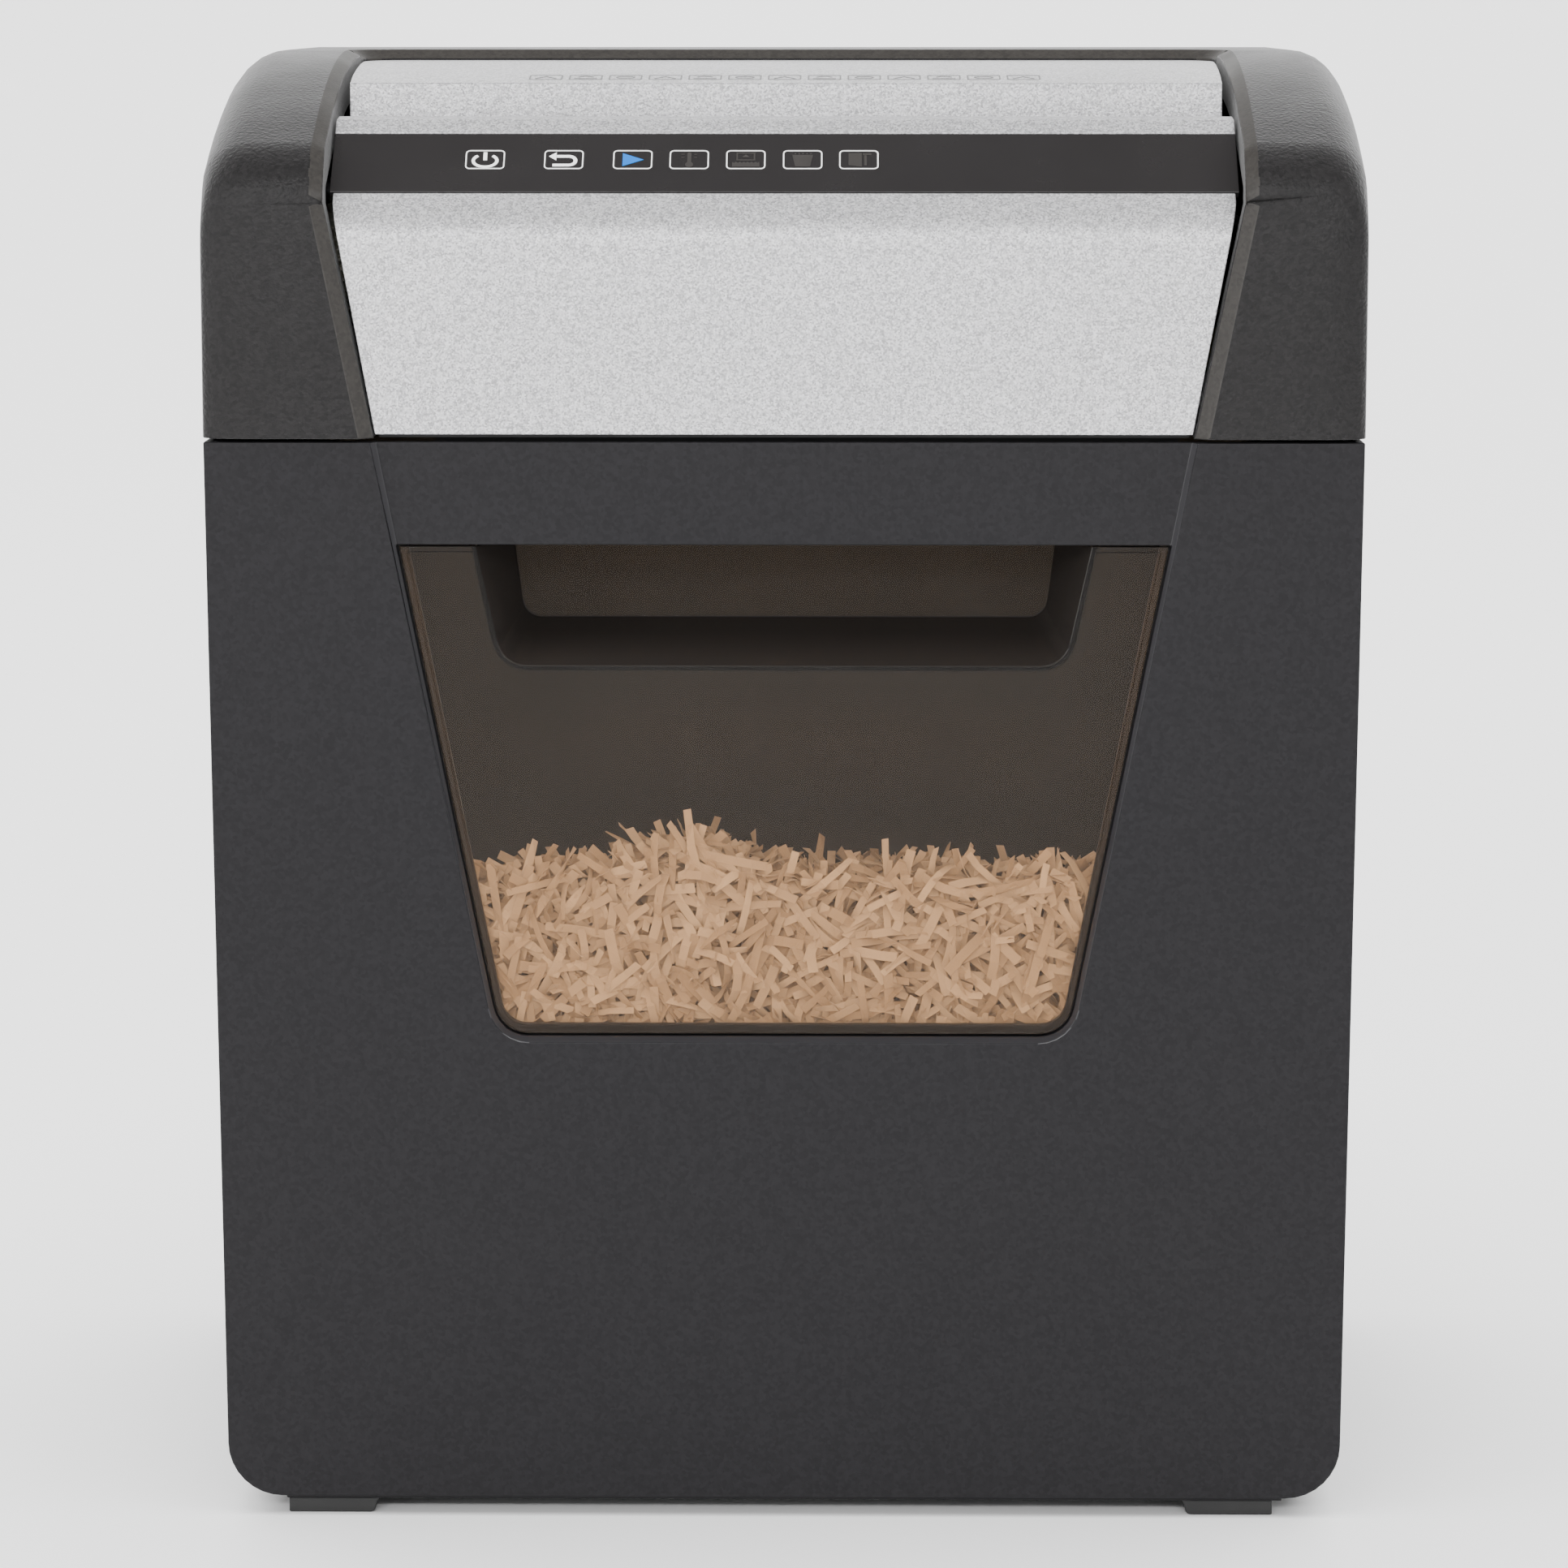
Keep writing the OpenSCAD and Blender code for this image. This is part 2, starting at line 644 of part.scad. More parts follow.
module motor_stator() {
  color("#6b6d70") difference() {
    along_x(stator_x0, stator_x1) translate(motor_axis)
      polygon(round_rect(-stator_half, -stator_half, stator_half, stator_half, 7));
    x_bar(motor_axis, stator_bore_r, stator_x0 - 1, stator_x1 + 1);
  }
}
module motor_field_coils() {
  color("#a4572c") for (s = [-1, 1], x = [[stator_x0 - 9, stator_x0], [stator_x1, stator_x1 + 9]])
    along_x(x[0], x[1]) translate(motor_axis + [0, 21.5 * s]) polygon(round_rect(-17, -4.5, 17, 4.5, 3));
}
// An end bracket with its bush, and two posts that reach the stator between post_x0 and post_x1.
module motor_bracket(x0, post_x0, post_x1) {
  difference() {
    union() {
      along_x(x0, x0 + 3) translate(motor_axis)
        polygon(round_rect(-stator_half, -stator_half, stator_half, stator_half, 6));
      x_bar(motor_axis, 9, x0, x0 + 6);
      for (y = [-24, 24]) x_bar(motor_axis + [y, -y], 3, post_x0, post_x1);
    }
    x_bar(motor_axis, motor_journal_r + running, x0 - 1, x0 + 7);
  }
}
module motor_brackets() {
  color("#a7a9ad") {
    motor_bracket(drive_bracket_x, drive_bracket_x + 3, stator_x0);
    motor_bracket(brush_bracket_x, stator_x1, brush_bracket_x);
  }
}
module motor_brush_holders() {
  color("#2b2b2d") for (s = [-1, 1])
    block([brush_bracket_x - 13, motor_axis[0] + (s > 0 ? 11.3 : -22), motor_axis[1] - 4],
      [brush_bracket_x, motor_axis[0] + (s > 0 ? 22 : -11.3), motor_axis[1] + 4]);
}
module motor_cradle() {
  fit = stator_half + running;
  color("#2c2c2e") translate([0, motor_axis[0], motor_axis[1]]) difference() {
    block([stator_x0 + 4, -34, tray_top_z - motor_axis[1]], [stator_x1 - 4, 34, -16]);
    block([stator_x0, -fit, -stator_half], [stator_x1, fit, 0]);
  }
}
module motor_armature() {
  color("#77797d") difference() {
    x_bar(motor_axis, armature_r, stator_x0 + 2, stator_x1 - 2);
    x_bar(motor_axis, motor_journal_r, stator_x0, stator_x1);
    for (a = [0:30:330]) translate([stator_x0, motor_axis[0], motor_axis[1]]) rotate([a, 0, 0])
      block([0, armature_r - 4, -1], [60, armature_r + 2, 1]);
  }
}
module motor_shaft() {
  color("#c2c4c8") union() {
    x_bar(motor_axis, motor_journal_r, drive_bracket_x - 2, 22);
    x_bar(motor_axis, motor_nose_r, fast_gear_x - 2, drive_bracket_x - 2);
  }
}
module motor_commutator() {
  color("#b5713a") difference() {
    x_bar(motor_axis, 11, stator_x1 + 13, brush_bracket_x - 1);
    x_bar(motor_axis, motor_journal_r, stator_x1, brush_bracket_x);
    for (a = [0:30:330]) translate([0, motor_axis[0], motor_axis[1]]) rotate([a, 0, 0])
      block([stator_x1 + 12, 9.5, -0.4], [brush_bracket_x, 12, 0.4]);
  }
}
module motor_fan() {
  color("#39393b") difference() {
    union() {
      x_bar(motor_axis, 26, 8, 10);
      x_bar(motor_axis, 8, 8, 20);
      for (a = [0:36:324]) translate([10, motor_axis[0], motor_axis[1]]) rotate([a, 0, 0])
        block([-0.5, 7, -0.9], [9, 25.5, 0.9]);
    }
    x_bar(motor_axis, motor_journal_r, 6, 22);
  }
}
module motor_pinion() {
  color("#c2a05a") gear(motor_axis, fast_gear_x, fast_module, pinion_teeth, motor_pinion_turn, motor_nose_r);
}
module thermal_cutout() {
  color("#d9d9d4") translate([0, motor_axis[0], motor_axis[1] + stator_half]) block([-70, -7, 0], [-50, 7, 5]);
}

// ---- electrics ----
module power_board() {
  color("#2f6b3c") union() {
    block([44, 0, board_z - board_t], [160, 104, board_z]);
    for (x = [50, 154], y = [6, 98]) translate([x, y, tray_top_z])
      cylinder(r = 4, h = board_z - board_t - tray_top_z, $fn = 24);
  }
}
module power_components() {
  color("#d8b23c") union() {
    block([60, 50, board_z], [86, 72, 374]);
    block([56, 20, board_z], [75, 36, 366]);
  }
  color("#1f1f21") translate([104, 50, board_z]) cylinder(r = 9, h = 26, $fn = 36);
  color("#2b4f8a") block([120, 14, board_z], [150, 32, 368]);
  color("#c9c9cc") block([88, 14, board_z], [92, 40, 376]);
}
module control_board() {
  low = strip_foot + 3 * strip_dir - strip_board_gap * strip_normal;
  high = low + 18 * strip_dir;
  back = board_t * strip_normal;
  color("#2f6b3c") along_x(-105, 45) polygon([low, high, high - back, low - back]);
}
module indicator_leds() {
  foot = strip_foot + 13 * strip_dir - strip_board_gap * strip_normal;
  color("#d7ecff") for (x = [-46, -28.5, -11, 6, 23.5])
    translate([x, foot[0], foot[1]]) rotate([strip_slope, 0, 0]) cylinder(r = 2.5, h = 5, $fn = 24);
}
module paper_sensors() {
  color("#1d1d20") {
    block([2, throat_y - skin - 6, 402], [14, throat_y - skin, 410]);
    block([2, throat_y + throat + skin + 0.3, 402], [14, throat_y + throat + skin + 6, 410]);
  }
}
module power_switch_body() {
  color("#1c1c1e") difference() {
    union() {
      block([switch_x - 9.4, 112, switch_z - 13.8], [switch_x + 9.4, head_back_y, switch_z + 13.8]);
      block([switch_x - 12, head_back_y, switch_z - 16], [switch_x + 12, half_d, switch_z + 16]);
    }
    block([switch_x - 6.4, 118, switch_z - 10.6], [switch_x + 6.4, half_d + 1, switch_z + 10.6]);
    x_bar(rocker_axis, 1.5 + running, switch_x - 7.8, switch_x + 7.8);
  }
}

// The rocker stands tilted at rest, in the off position, and turns on a pin across its width.
module power_rocker() {
  color("#29292b") {
    translate([0, rocker_axis[0], rocker_axis[1]]) along_x(switch_x - 6.1, switch_x + 6.1) rotate(-rocker_tilt)
      polygon([[6, 9.2], [4.4, 0], [6, -9.2], [2.5, -9.5], [-2.5, -4], [-3.4, 0], [-2.5, 4], [2.5, 9.5]]);
    for (x = [switch_x - 7.6, switch_x + 6.1]) x_bar(rocker_axis, 1.5, x, x + 1.5);
  }
}
module cord_gland() {
  color("#1c1c1e") difference() {
    union() {
      translate([gland_x, half_d - 2, gland_z]) rotate([-90, 0, 0]) cylinder(r = 11, h = 2, $fn = 48);
      translate([gland_x, head_back_y - 12, gland_z]) rotate([-90, 0, 0]) cylinder(r = 7.9, h = 12, $fn = 48);
    }
    translate([gland_x, 100, gland_z]) rotate([-90, 0, 0]) cylinder(r = 4, h = 50, $fn = 48);
  }
}

// Rings of eight points square to the route, joined into one closed tube.
function side_of(d) = let (s = cross(d, abs(d[2]) < 0.9 * norm(d) ? [0, 0, 1] : [1, 0, 0])) s / norm(s);
module wire(route, r) {
  n = len(route);
  sides = 8;
  ring = [for (i = [0:n - 1])
    let (d = route[min(i + 1, n - 1)] - route[max(i - 1, 0)], u = side_of(d), v = cross(d, u) / norm(d))
    for (k = [0:sides - 1]) route[i] + r * (cos(360 * k / sides) * u + sin(360 * k / sides) * v)];
  faces = concat(
    [[for (k = [0:sides - 1]) k]],
    [[for (k = [sides - 1:-1:0]) (n - 1) * sides + k]],
    [for (i = [0:n - 2], k = [0:sides - 1]) let (a = i * sides + k, b = i * sides + (k + 1) % sides)
      [b, a, a + sides, b + sides]]);
  polyhedron(ring, faces);
}
module wiring_harness() {
  color("#1b1b1d") wire(motor_lead, 1.8);
  color("#8f2a20") wire(switch_lead, 1.6);
  color("#cfcfcf") wire(panel_lead, 1.6);
}
module bin_reed_switch() {
  color("#e0e0dc") block([60, 108, seam_z - 10], [84, 116, seam_z - flange_t]);
}
module head_screws() {
  color("#8d9095") for (at = head_screw_at) translate([at[0], at[1], tray_top_z - 9]) {
    cylinder(r = screw_r, h = 9, $fn = 24);
    translate([0, 0, 9]) cylinder(r = 3.2, h = 2, $fn = 24);
  }
}

// ---- cabinet ----
// Front outline of the lower case in (X, Z), with round lower corners.
module case_outline(inset, z0, z1) {
  r = foot_corner_r - inset;
  top = cab_top_half_w - inset;
  foot = cab_foot_half_w - inset;
  polygon(concat([[-top, z1]], arc([-foot + r, z0 + inset + r], r, 180, 270, 8),
    arc([foot - r, z0 + inset + r], r, 270, 360, 8), [[top, z1]]));
}

// Plan outline of the cabinet, with round rear corners, open to the front.
module case_plan(inset) {
  r = 14 - inset;
  side = cab_top_half_w + 1 - inset;
  back = head_back_y - inset;
  polygon(concat([[-side, cabinet_front_y - 20 * sign(inset)], [side, cabinet_front_y - 20 * sign(inset)]],
    arc([side - r, back - r], r, 0, 90, 6), arc([-side + r, back - r], r, 90, 180, 6)));
}

module case_solid(inset, z1) {
  intersection() {
    along_y(cabinet_front_y - 30, half_d) case_outline(inset, base_z, z1);
    linear_extrude(z1 + 1) case_plan(inset);
  }
}

module cabinet_body() {
  color("#3a393d") difference() {
    union() {
      difference() {
        case_solid(0, seam_z);
        case_solid(wall, seam_z + 5);
      }
      // tongue of the base under the bin's front
      block([-156, -131, base_z], [156, cabinet_front_y + 3, base_z + tongue_t]);
      // flange that carries the head
      difference() {
        intersection() {
          case_solid(0.5, seam_z);
          block([-180, cabinet_front_y, seam_z - flange_t], [180, 140, seam_z]);
        }
        block([-148, cabinet_front_y - 5, 320], [148, 104, seam_z + 1]);
      }
      for (at = head_screw_at) translate([at[0], at[1], 328]) cylinder(r = 4, h = 8, $fn = 32);
      for (at = foot_screw_at) translate([at[0], at[1], base_z + 1]) cylinder(r = 4, h = 9, $fn = 32);
    }
    for (at = head_screw_at) translate([at[0], at[1], 326]) cylinder(r = screw_r, h = 20, $fn = 24);
    for (at = foot_screw_at) translate([at[0], at[1], 0]) cylinder(r = screw_r, h = 20, $fn = 24);
  }
}

module guide_rails() {
  color("#2c2c2e") for (x = [-rail_x, rail_x])
    block([x - 4, -104, base_z + wall], [x + 4, 120, bin_floor_z - 0.3]);
}

// Front feet and rear feet: the inner side of each block flares out under the base.
module feet() {
  inner = 128.7;
  foot = concat([[154.2, 0], [154.2, base_z]], arc([inner - 4, base_z - 2], 2, 90, 0, 4),
    arc([inner, 1.6], 1.6, 180, 270, 4));
  color("#19191a") for (side = [-1, 1], y = [[-130, -98], [96, 126]]) difference() {
    translate([feet_x, 0, 0]) along_y(y[0], y[1]) scale([side, 1]) polygon(foot);
    for (at = foot_screw_at) translate([at[0], at[1], -1]) {
      cylinder(r = 3.6, h = 3.4, $fn = 32);
      cylinder(r = screw_r, h = 10, $fn = 24);
    }
  }
}
module foot_screws() {
  color("#8d9095") for (at = foot_screw_at) translate([at[0], at[1], 0.6]) {
    cylinder(r = 3.2, h = 1.8, $fn = 24);
    cylinder(r = screw_r, h = 11.8, $fn = 24);
  }
}

// ---- bin ----
// The window's trapezoid in (X, Z), shrunk by inset, between its lower edge and z1.
module trapezoid(inset, z1) {
  r = max(window_r - inset, 1);
  z0 = window_z + inset;
  foot = trap_x(z0) - inset;
  lean = atan(trap_lean);
  polygon(concat([[-trap_x(z1) + inset, z1]],
    arc([-foot + r, z0 + r], r, 180 + lean, 270, 6),
    arc([foot - r, z0 + r], r, 270, 360 - lean, 6),
    [[trap_x(z1) - inset, z1]]));
}

module bin_front_panel() {
  top = seam_z - 1;
  back = cabinet_front_y - 1.3;
  color("#3a393e") difference() {
    union() {
      difference() {
        along_y(panel_y, back) case_outline(0, panel_bottom_z, top);
        along_y(inset_y + wall, back + 1) case_outline(wall, panel_bottom_z, top + 5);
      }
      // lip under the grip band, for the fingers
      block([-grip_half_w, inset_y + 0.2, window_top_z], [grip_half_w, grip_back_y, window_top_z + 3]);
      for (at = bin_screw_at) translate([at[0], 0, at[1]]) rotate([90, 0, 0])
        translate([0, 0, -bin_front_y]) cylinder(r = 4, h = bin_front_y - inset_y - 1, $fn = 32);
    }
    // sunken trapezoid with a bevelled edge
    hull() {
      along_y(inset_y - 0.1, inset_y) trapezoid(0, seam_z + 5);
      along_y(panel_y - 0.1, panel_y) trapezoid(-1.8, seam_z + 5);
    }
    along_y(front_y, inset_y + wall + 1) trapezoid(0, window_top_z);
    for (at = bin_screw_at) translate([at[0], bin_front_y + 1, at[1]]) rotate([90, 0, 0])
      cylinder(r = 1.5, h = 5, $fn = 24);
  }
}

// Outline of the handle scoop in (X, Z) at its front or its back.
module scoop_outline(half, z_half, lean, z0, z1, r, grow) {
  foot = half - lean * (z_half - z0) + grow;
  head = half + lean * (z1 - z_half) + grow;
  a = atan(lean);
  polygon(concat([[-head, z1 + grow]], arc([-foot + r, z0 - grow + r], r, 180 + a, 270, 6),
    arc([foot - r, z0 - grow + r], r, 270, 360 - a, 6), [[head, z1 + grow]]));
}

module scoop(grow, front) {
  hull() {
    along_y(front, front + 0.1) scoop_outline(94.9, 305.5, trap_lean, 268, scoop_roof_z - 2, 9 + grow, grow);
    along_y(scoop_back_y + grow - 0.1, scoop_back_y + grow)
      scoop_outline(84.4, 302, 0.11, 279.5, scoop_roof_z - 2, 6 + grow, grow);
  }
}

module bin_window() {
  color([0.27, 0.24, 0.21, 0.6]) difference() {
    union() {
      along_y(window_y, window_y + window_t) trapezoid(window_gap, window_top_z - 0.5);
      difference() {
        along_y(window_y + 1, bin_front_y) trapezoid(window_gap, window_top_z - 0.5);
        along_y(window_y, bin_front_y + 1) trapezoid(window_gap + 2, window_top_z - 2.5);
      }
      scoop(scoop_wall, window_y + 1);
    }
    scoop(0, window_y - 1);
    // room for the grip band and its lip
    block([-130, front_y, window_top_z - 0.3], [130, grip_back_y + 0.4, window_top_z + 3.4]);
    block([-130, front_y, window_top_z], [130, inset_y + wall + 0.3, seam_z]);
  }
}

module bin_tub() {
  color("#232325") difference() {
    linear_extrude(bin_top_z) polygon(round_rect(-bin_half_w, bin_front_y, bin_half_w, bin_back_y, bin_r));
    linear_extrude(bin_floor_z) square(600, center = true);
    translate([0, 0, bin_floor_z + bin_wall]) linear_extrude(bin_top_z)
      polygon(round_rect(-bin_half_w + bin_wall, bin_front_y + bin_wall, bin_half_w - bin_wall,
        bin_back_y - bin_wall, bin_r - bin_wall));
    along_y(bin_front_y - 1, bin_front_y + bin_wall + 1) trapezoid(border, bin_top_z + 5);
    for (at = bin_screw_at) translate([at[0], bin_front_y + 10, at[1]]) rotate([90, 0, 0])
      cylinder(r = 1.5, h = 20, $fn = 24);
  }
}

module bin_screws() {
  for (at = bin_screw_at) color("#8d9095")
    translate([at[0], bin_front_y + bin_wall, at[1]]) rotate([90, 0, 0]) {
      translate([0, 0, -2]) cylinder(r = 3, h = 2, $fn = 24);
      cylinder(r = 1.5, h = 4.5, $fn = 24);
    }
}

module bin_magnet() {
  color("#9b9da1") block([65, bin_back_y - bin_wall - 5, 308], [79, bin_back_y - bin_wall, 318]);
}

// Loose heap of shreds: its top is a smooth landscape over a grid, with a mound left of the middle, and falls
// away behind its crest. It is hollow underneath to weigh as little as loose shreds do.
function mound(x, middle, spread, rise) = rise * exp(-pow((x - middle) / spread, 2));
function heap_fall(y) = heap_slope * max(0, y - heap_crest_y);
function heap_z(x, y) =
  paper_z - heap_fall(y) + 2 * sin(2.1 * x + 40) * cos(1.3 * y) + mound(x, -29, 20, 11) + mound(x, 38, 24, 4);
module shredded_paper() {
  cols = 24;
  rows = 10;
  x0 = -bin_half_w + bin_wall + 0.5;
  y0 = bin_front_y + bin_wall + 2.5;
  y1 = bin_back_y - bin_wall - 0.5;
  z0 = bin_floor_z + bin_wall;
  corner = 13;
  roof = paper_z - 8;
  grid = [for (j = [0:rows], i = [0:cols]) [x0 - 2 * x0 * i / cols, y0 + (y1 - y0) * j / rows]];
  row = cols + 1;
  cells = [for (j = [0:rows - 1], i = [0:cols - 1]) j * row + i];
  n = len(grid);
  edge = concat([for (i = [0:cols - 1]) i], [for (j = [0:rows - 1]) j * row + cols],
    [for (i = [cols:-1:1]) rows * row + i], [for (j = [rows:-1:1]) j * row]);
  color("#c9ab85") intersection() {
    polyhedron(
      concat([for (p = grid) [p[0], p[1], heap_z(p[0], p[1])]], [for (p = grid) [p[0], p[1], z0]]),
      concat([for (c = cells) each [[c, c + row, c + row + 1], [c, c + row + 1, c + 1]]],
        [for (c = cells) [n + c, n + c + 1, n + c + row + 1, n + c + row]],
        [for (k = [0:len(edge) - 1]) let (a = edge[k], b = edge[(k + 1) % len(edge)]) [a, b, n + b, n + a]]));
    difference() {
      linear_extrude(bin_top_z) polygon(round_rect(x0, y0, -x0, y1, corner - bin_wall));
      along_x(x0 + heap_skin, -x0 - heap_skin) polygon([[y0 + heap_skin, 0], [y0 + heap_skin, roof],
        [heap_crest_y, roof], [y1 - heap_skin, roof - heap_fall(y1 - heap_skin)], [y1 - heap_skin, 0]]);
    }
  }
}

head_cover();
fascia_panel();
control_strip();
entry_lip();
entry_plate();
head_tray();
cutter_plate_left();
cutter_plate_right();
tie_rods();
cutter_bearings();
front_cutter_shaft();
front_cutter_discs();
front_spacer_rings();
front_cutter_gear();
rear_cutter_shaft();
rear_cutter_discs();
rear_spacer_rings();
rear_cutter_gear();
drive_gear();
front_shaft_clip();
rear_shaft_clip();
front_stripper_comb();
rear_stripper_comb();
gear_cluster_slow();
gear_cluster_fast();
gear_axles();
gearbox_plate();
gearbox_spacers();
motor_stator();
motor_field_coils();
motor_brackets();
motor_brush_holders();
motor_cradle();
motor_armature();
motor_shaft();
motor_commutator();
motor_fan();
motor_pinion();
thermal_cutout();
power_board();
power_components();
control_board();
indicator_leds();
paper_sensors();
power_switch_body();
power_rocker();
cord_gland();
wiring_harness();
bin_reed_switch();
head_screws();
cabinet_body();
guide_rails();
feet();
foot_screws();
bin_front_panel();
bin_window();
bin_tub();
bin_screws();
bin_magnet();
shredded_paper();
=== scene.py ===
"""Looks of the paper shredder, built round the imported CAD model.

Every moulded part gets softened edges and a moulded finish, the heap is covered with loose shreds,
and the symbols are laid on the control strip and on the entry plate. Metres; the front faces -Y.
"""

import json
import math

import bmesh
import bpy
import numpy as np
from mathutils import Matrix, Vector
from mathutils.bvhtree import BVHTree


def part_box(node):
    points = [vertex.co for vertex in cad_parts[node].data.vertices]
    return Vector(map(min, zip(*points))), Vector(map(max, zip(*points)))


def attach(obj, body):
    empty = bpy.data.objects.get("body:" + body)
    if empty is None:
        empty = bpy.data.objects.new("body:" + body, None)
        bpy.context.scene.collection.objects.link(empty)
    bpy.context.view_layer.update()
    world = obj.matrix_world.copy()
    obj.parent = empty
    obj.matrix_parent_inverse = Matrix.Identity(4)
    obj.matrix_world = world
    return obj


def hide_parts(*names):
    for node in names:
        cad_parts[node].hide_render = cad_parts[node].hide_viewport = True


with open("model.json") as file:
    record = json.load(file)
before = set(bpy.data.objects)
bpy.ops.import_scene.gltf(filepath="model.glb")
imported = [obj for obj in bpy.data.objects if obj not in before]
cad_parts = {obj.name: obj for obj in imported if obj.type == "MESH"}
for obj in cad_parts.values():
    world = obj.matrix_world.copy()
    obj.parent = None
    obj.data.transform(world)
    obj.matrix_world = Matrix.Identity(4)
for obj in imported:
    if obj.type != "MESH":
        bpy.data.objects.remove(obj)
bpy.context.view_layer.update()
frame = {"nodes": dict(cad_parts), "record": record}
MM = 0.001

# ---- light and camera ----
CAMERA_AT = (0.019, -1.735, 0.470)
CAMERA_TILT_DEG = 81.55
CAMERA_YAW_DEG = 0.674
CAMERA_LENS_MM = 121.15
FLOOR_HALF = 14.0
WALL_Y = 6.0
WALL_HIGH = 7.0
SWEEP_R = 2.5
SWEEP_STEPS = 16
WALL_TOP = 0.36
CEILING_FROM = 0.78
WALL_LIGHT = (1.25, 1.25, 1.25)
CEILING_LIGHT = (0.22, 0.22, 0.22)
# soft lights: place, aim, width, height and power
OVERHEAD = ((0.0, 1.0, 4.5), (0, 1.0, 0), 9.0, 9.0, 1000)
FRONT = ((-0.2, -2.7, 1.25), (0, 0, 0.35), 2.6, 0.3, 58)
SIDE = ((-2.2, -1.6, 1.0), (0, 0, 0.3), 0.7, 1.2, 14)

# ---- finishes ----
# most of a noise's values lie between these
NOISE_SPREAD = (0.3, 0.7)
FLECK_SHARE = 0.7
PANE_TINT = (0.93, 0.81, 0.68, 1)
PANE_HAZE = 0.14
PAPER_DARK = (0.56, 0.51, 0.45)
PAPER_LIGHT = (0.84, 0.81, 0.77)
LAMP_DEEP = (0.0, 0.30, 0.85)
LAMP_BRIGHT = (0.0, 0.46, 1.0)
LAMP_STRENGTH = 0.62

# ---- softened edges: node, edge radius in mm, sharpest angle left alone, finish ----
SOFT_SHELLS = [
    ("head_cover", 0.5, 32, "cover"),
    ("fascia_panel", 0.4, 25, "silver"),
    ("control_strip", 0.25, 25, "strip"),
    ("entry_lip", 0.4, 25, "silver"),
    ("entry_plate", 0.4, 25, "silver"),
    ("cabinet_body", 0.4, 25, "cabinet"),
    ("bin_front_panel", 0.45, 25, "panel"),
    ("bin_window", 0.45, 30, "window"),
    ("bin_tub", 0.4, 25, "black"),
    ("feet", 0.5, 25, "rubber"),
    ("power_switch_body", 0.3, 25, "black"),
    ("power_rocker", 0.3, 25, "black"),
    ("cord_gland", 0.3, 25, "black"),
]
# furthest a rounded corner of the head cover may sit off its CAD surface
STRAY_MM = 0.35

# ---- shreds ----
SHRED_SEED = 41
SHRED_LENGTH = (10, 30)
SHRED_WIDTH = (2.1, 3.2)
SHRED_THICK = 0.14
SHRED_SEGMENTS = 5
FRONT_SHREDS = 2200
TOP_SHREDS = 4200
CORE_DEPTH = 5
CORE_GRID = (90, 66)
FRONT_SHREDS_Z = (0.147, 0.215)
FRONT_SHREDS_DEEP = 0.013

# ---- symbols on the control strip: middle X in mm and drawing ----
STRIP_FRAME = (12.0, 8.5)
STRIP_LONG = 26.5
STRIP_MIDDLE = 14.55
FRAME_LINE = 0.37
INK = 0.12
STRIP_SYMBOLS = [
    (-91.6, "power"),
    (-67.5, "reverse"),
    (-46.4, "play"),
    (-29.1, "heat"),
    (-11.8, "jam"),
    (5.6, "bin"),
    (22.8, "door"),
]

# ---- faint symbols on the entry plate ----
PLATE_FRAME = (10.5, 8.6)
PLATE_FIRST_X = -75.3
PLATE_PITCH = 12.48
PLATE_MARKS = 13
PLATE_MARKS_UP = 11.0
PLATE_LINE = 0.5


# ======== finishes ========
def socket_range(tree, factor, low, high):
    """Scales a 0-1 factor to the range low to high."""
    node = tree.nodes.new("ShaderNodeMapRange")
    node.inputs["From Min"].default_value = NOISE_SPREAD[0]
    node.inputs["From Max"].default_value = NOISE_SPREAD[1]
    node.inputs["To Min"].default_value = low
    node.inputs["To Max"].default_value = high
    tree.links.new(factor, node.inputs["Value"])
    return node.outputs["Result"]


def noise(tree, scale, detail=3.0, stretch=(1, 1, 1)):
    """Noise over the row frame, in features per metre, optionally stretched along an axis."""
    place = tree.nodes.new("ShaderNodeTexCoord")
    mapping = tree.nodes.new("ShaderNodeMapping")
    mapping.inputs["Scale"].default_value = stretch
    node = tree.nodes.new("ShaderNodeTexNoise")
    node.inputs["Scale"].default_value = scale
    node.inputs["Detail"].default_value = detail
    tree.links.new(place.outputs["Object"], mapping.inputs["Vector"])
    tree.links.new(mapping.outputs["Vector"], node.inputs["Vector"])
    return node.outputs["Fac"]


def two_tone(tree, factor, dark, light):
    mix = tree.nodes.new("ShaderNodeMix")
    mix.data_type = "RGBA"
    mix.inputs["A"].default_value = (*dark, 1)
    mix.inputs["B"].default_value = (*light, 1)
    tree.links.new(factor, mix.inputs["Factor"])
    return mix.outputs["Result"]


def bump(tree, height, depth_mm, below=None):
    node = tree.nodes.new("ShaderNodeBump")
    node.inputs["Strength"].default_value = 1.0
    node.inputs["Distance"].default_value = depth_mm * MM
    tree.links.new(height, node.inputs["Height"])
    if below is not None:
        tree.links.new(below, node.inputs["Normal"])
    return node.outputs["Normal"]


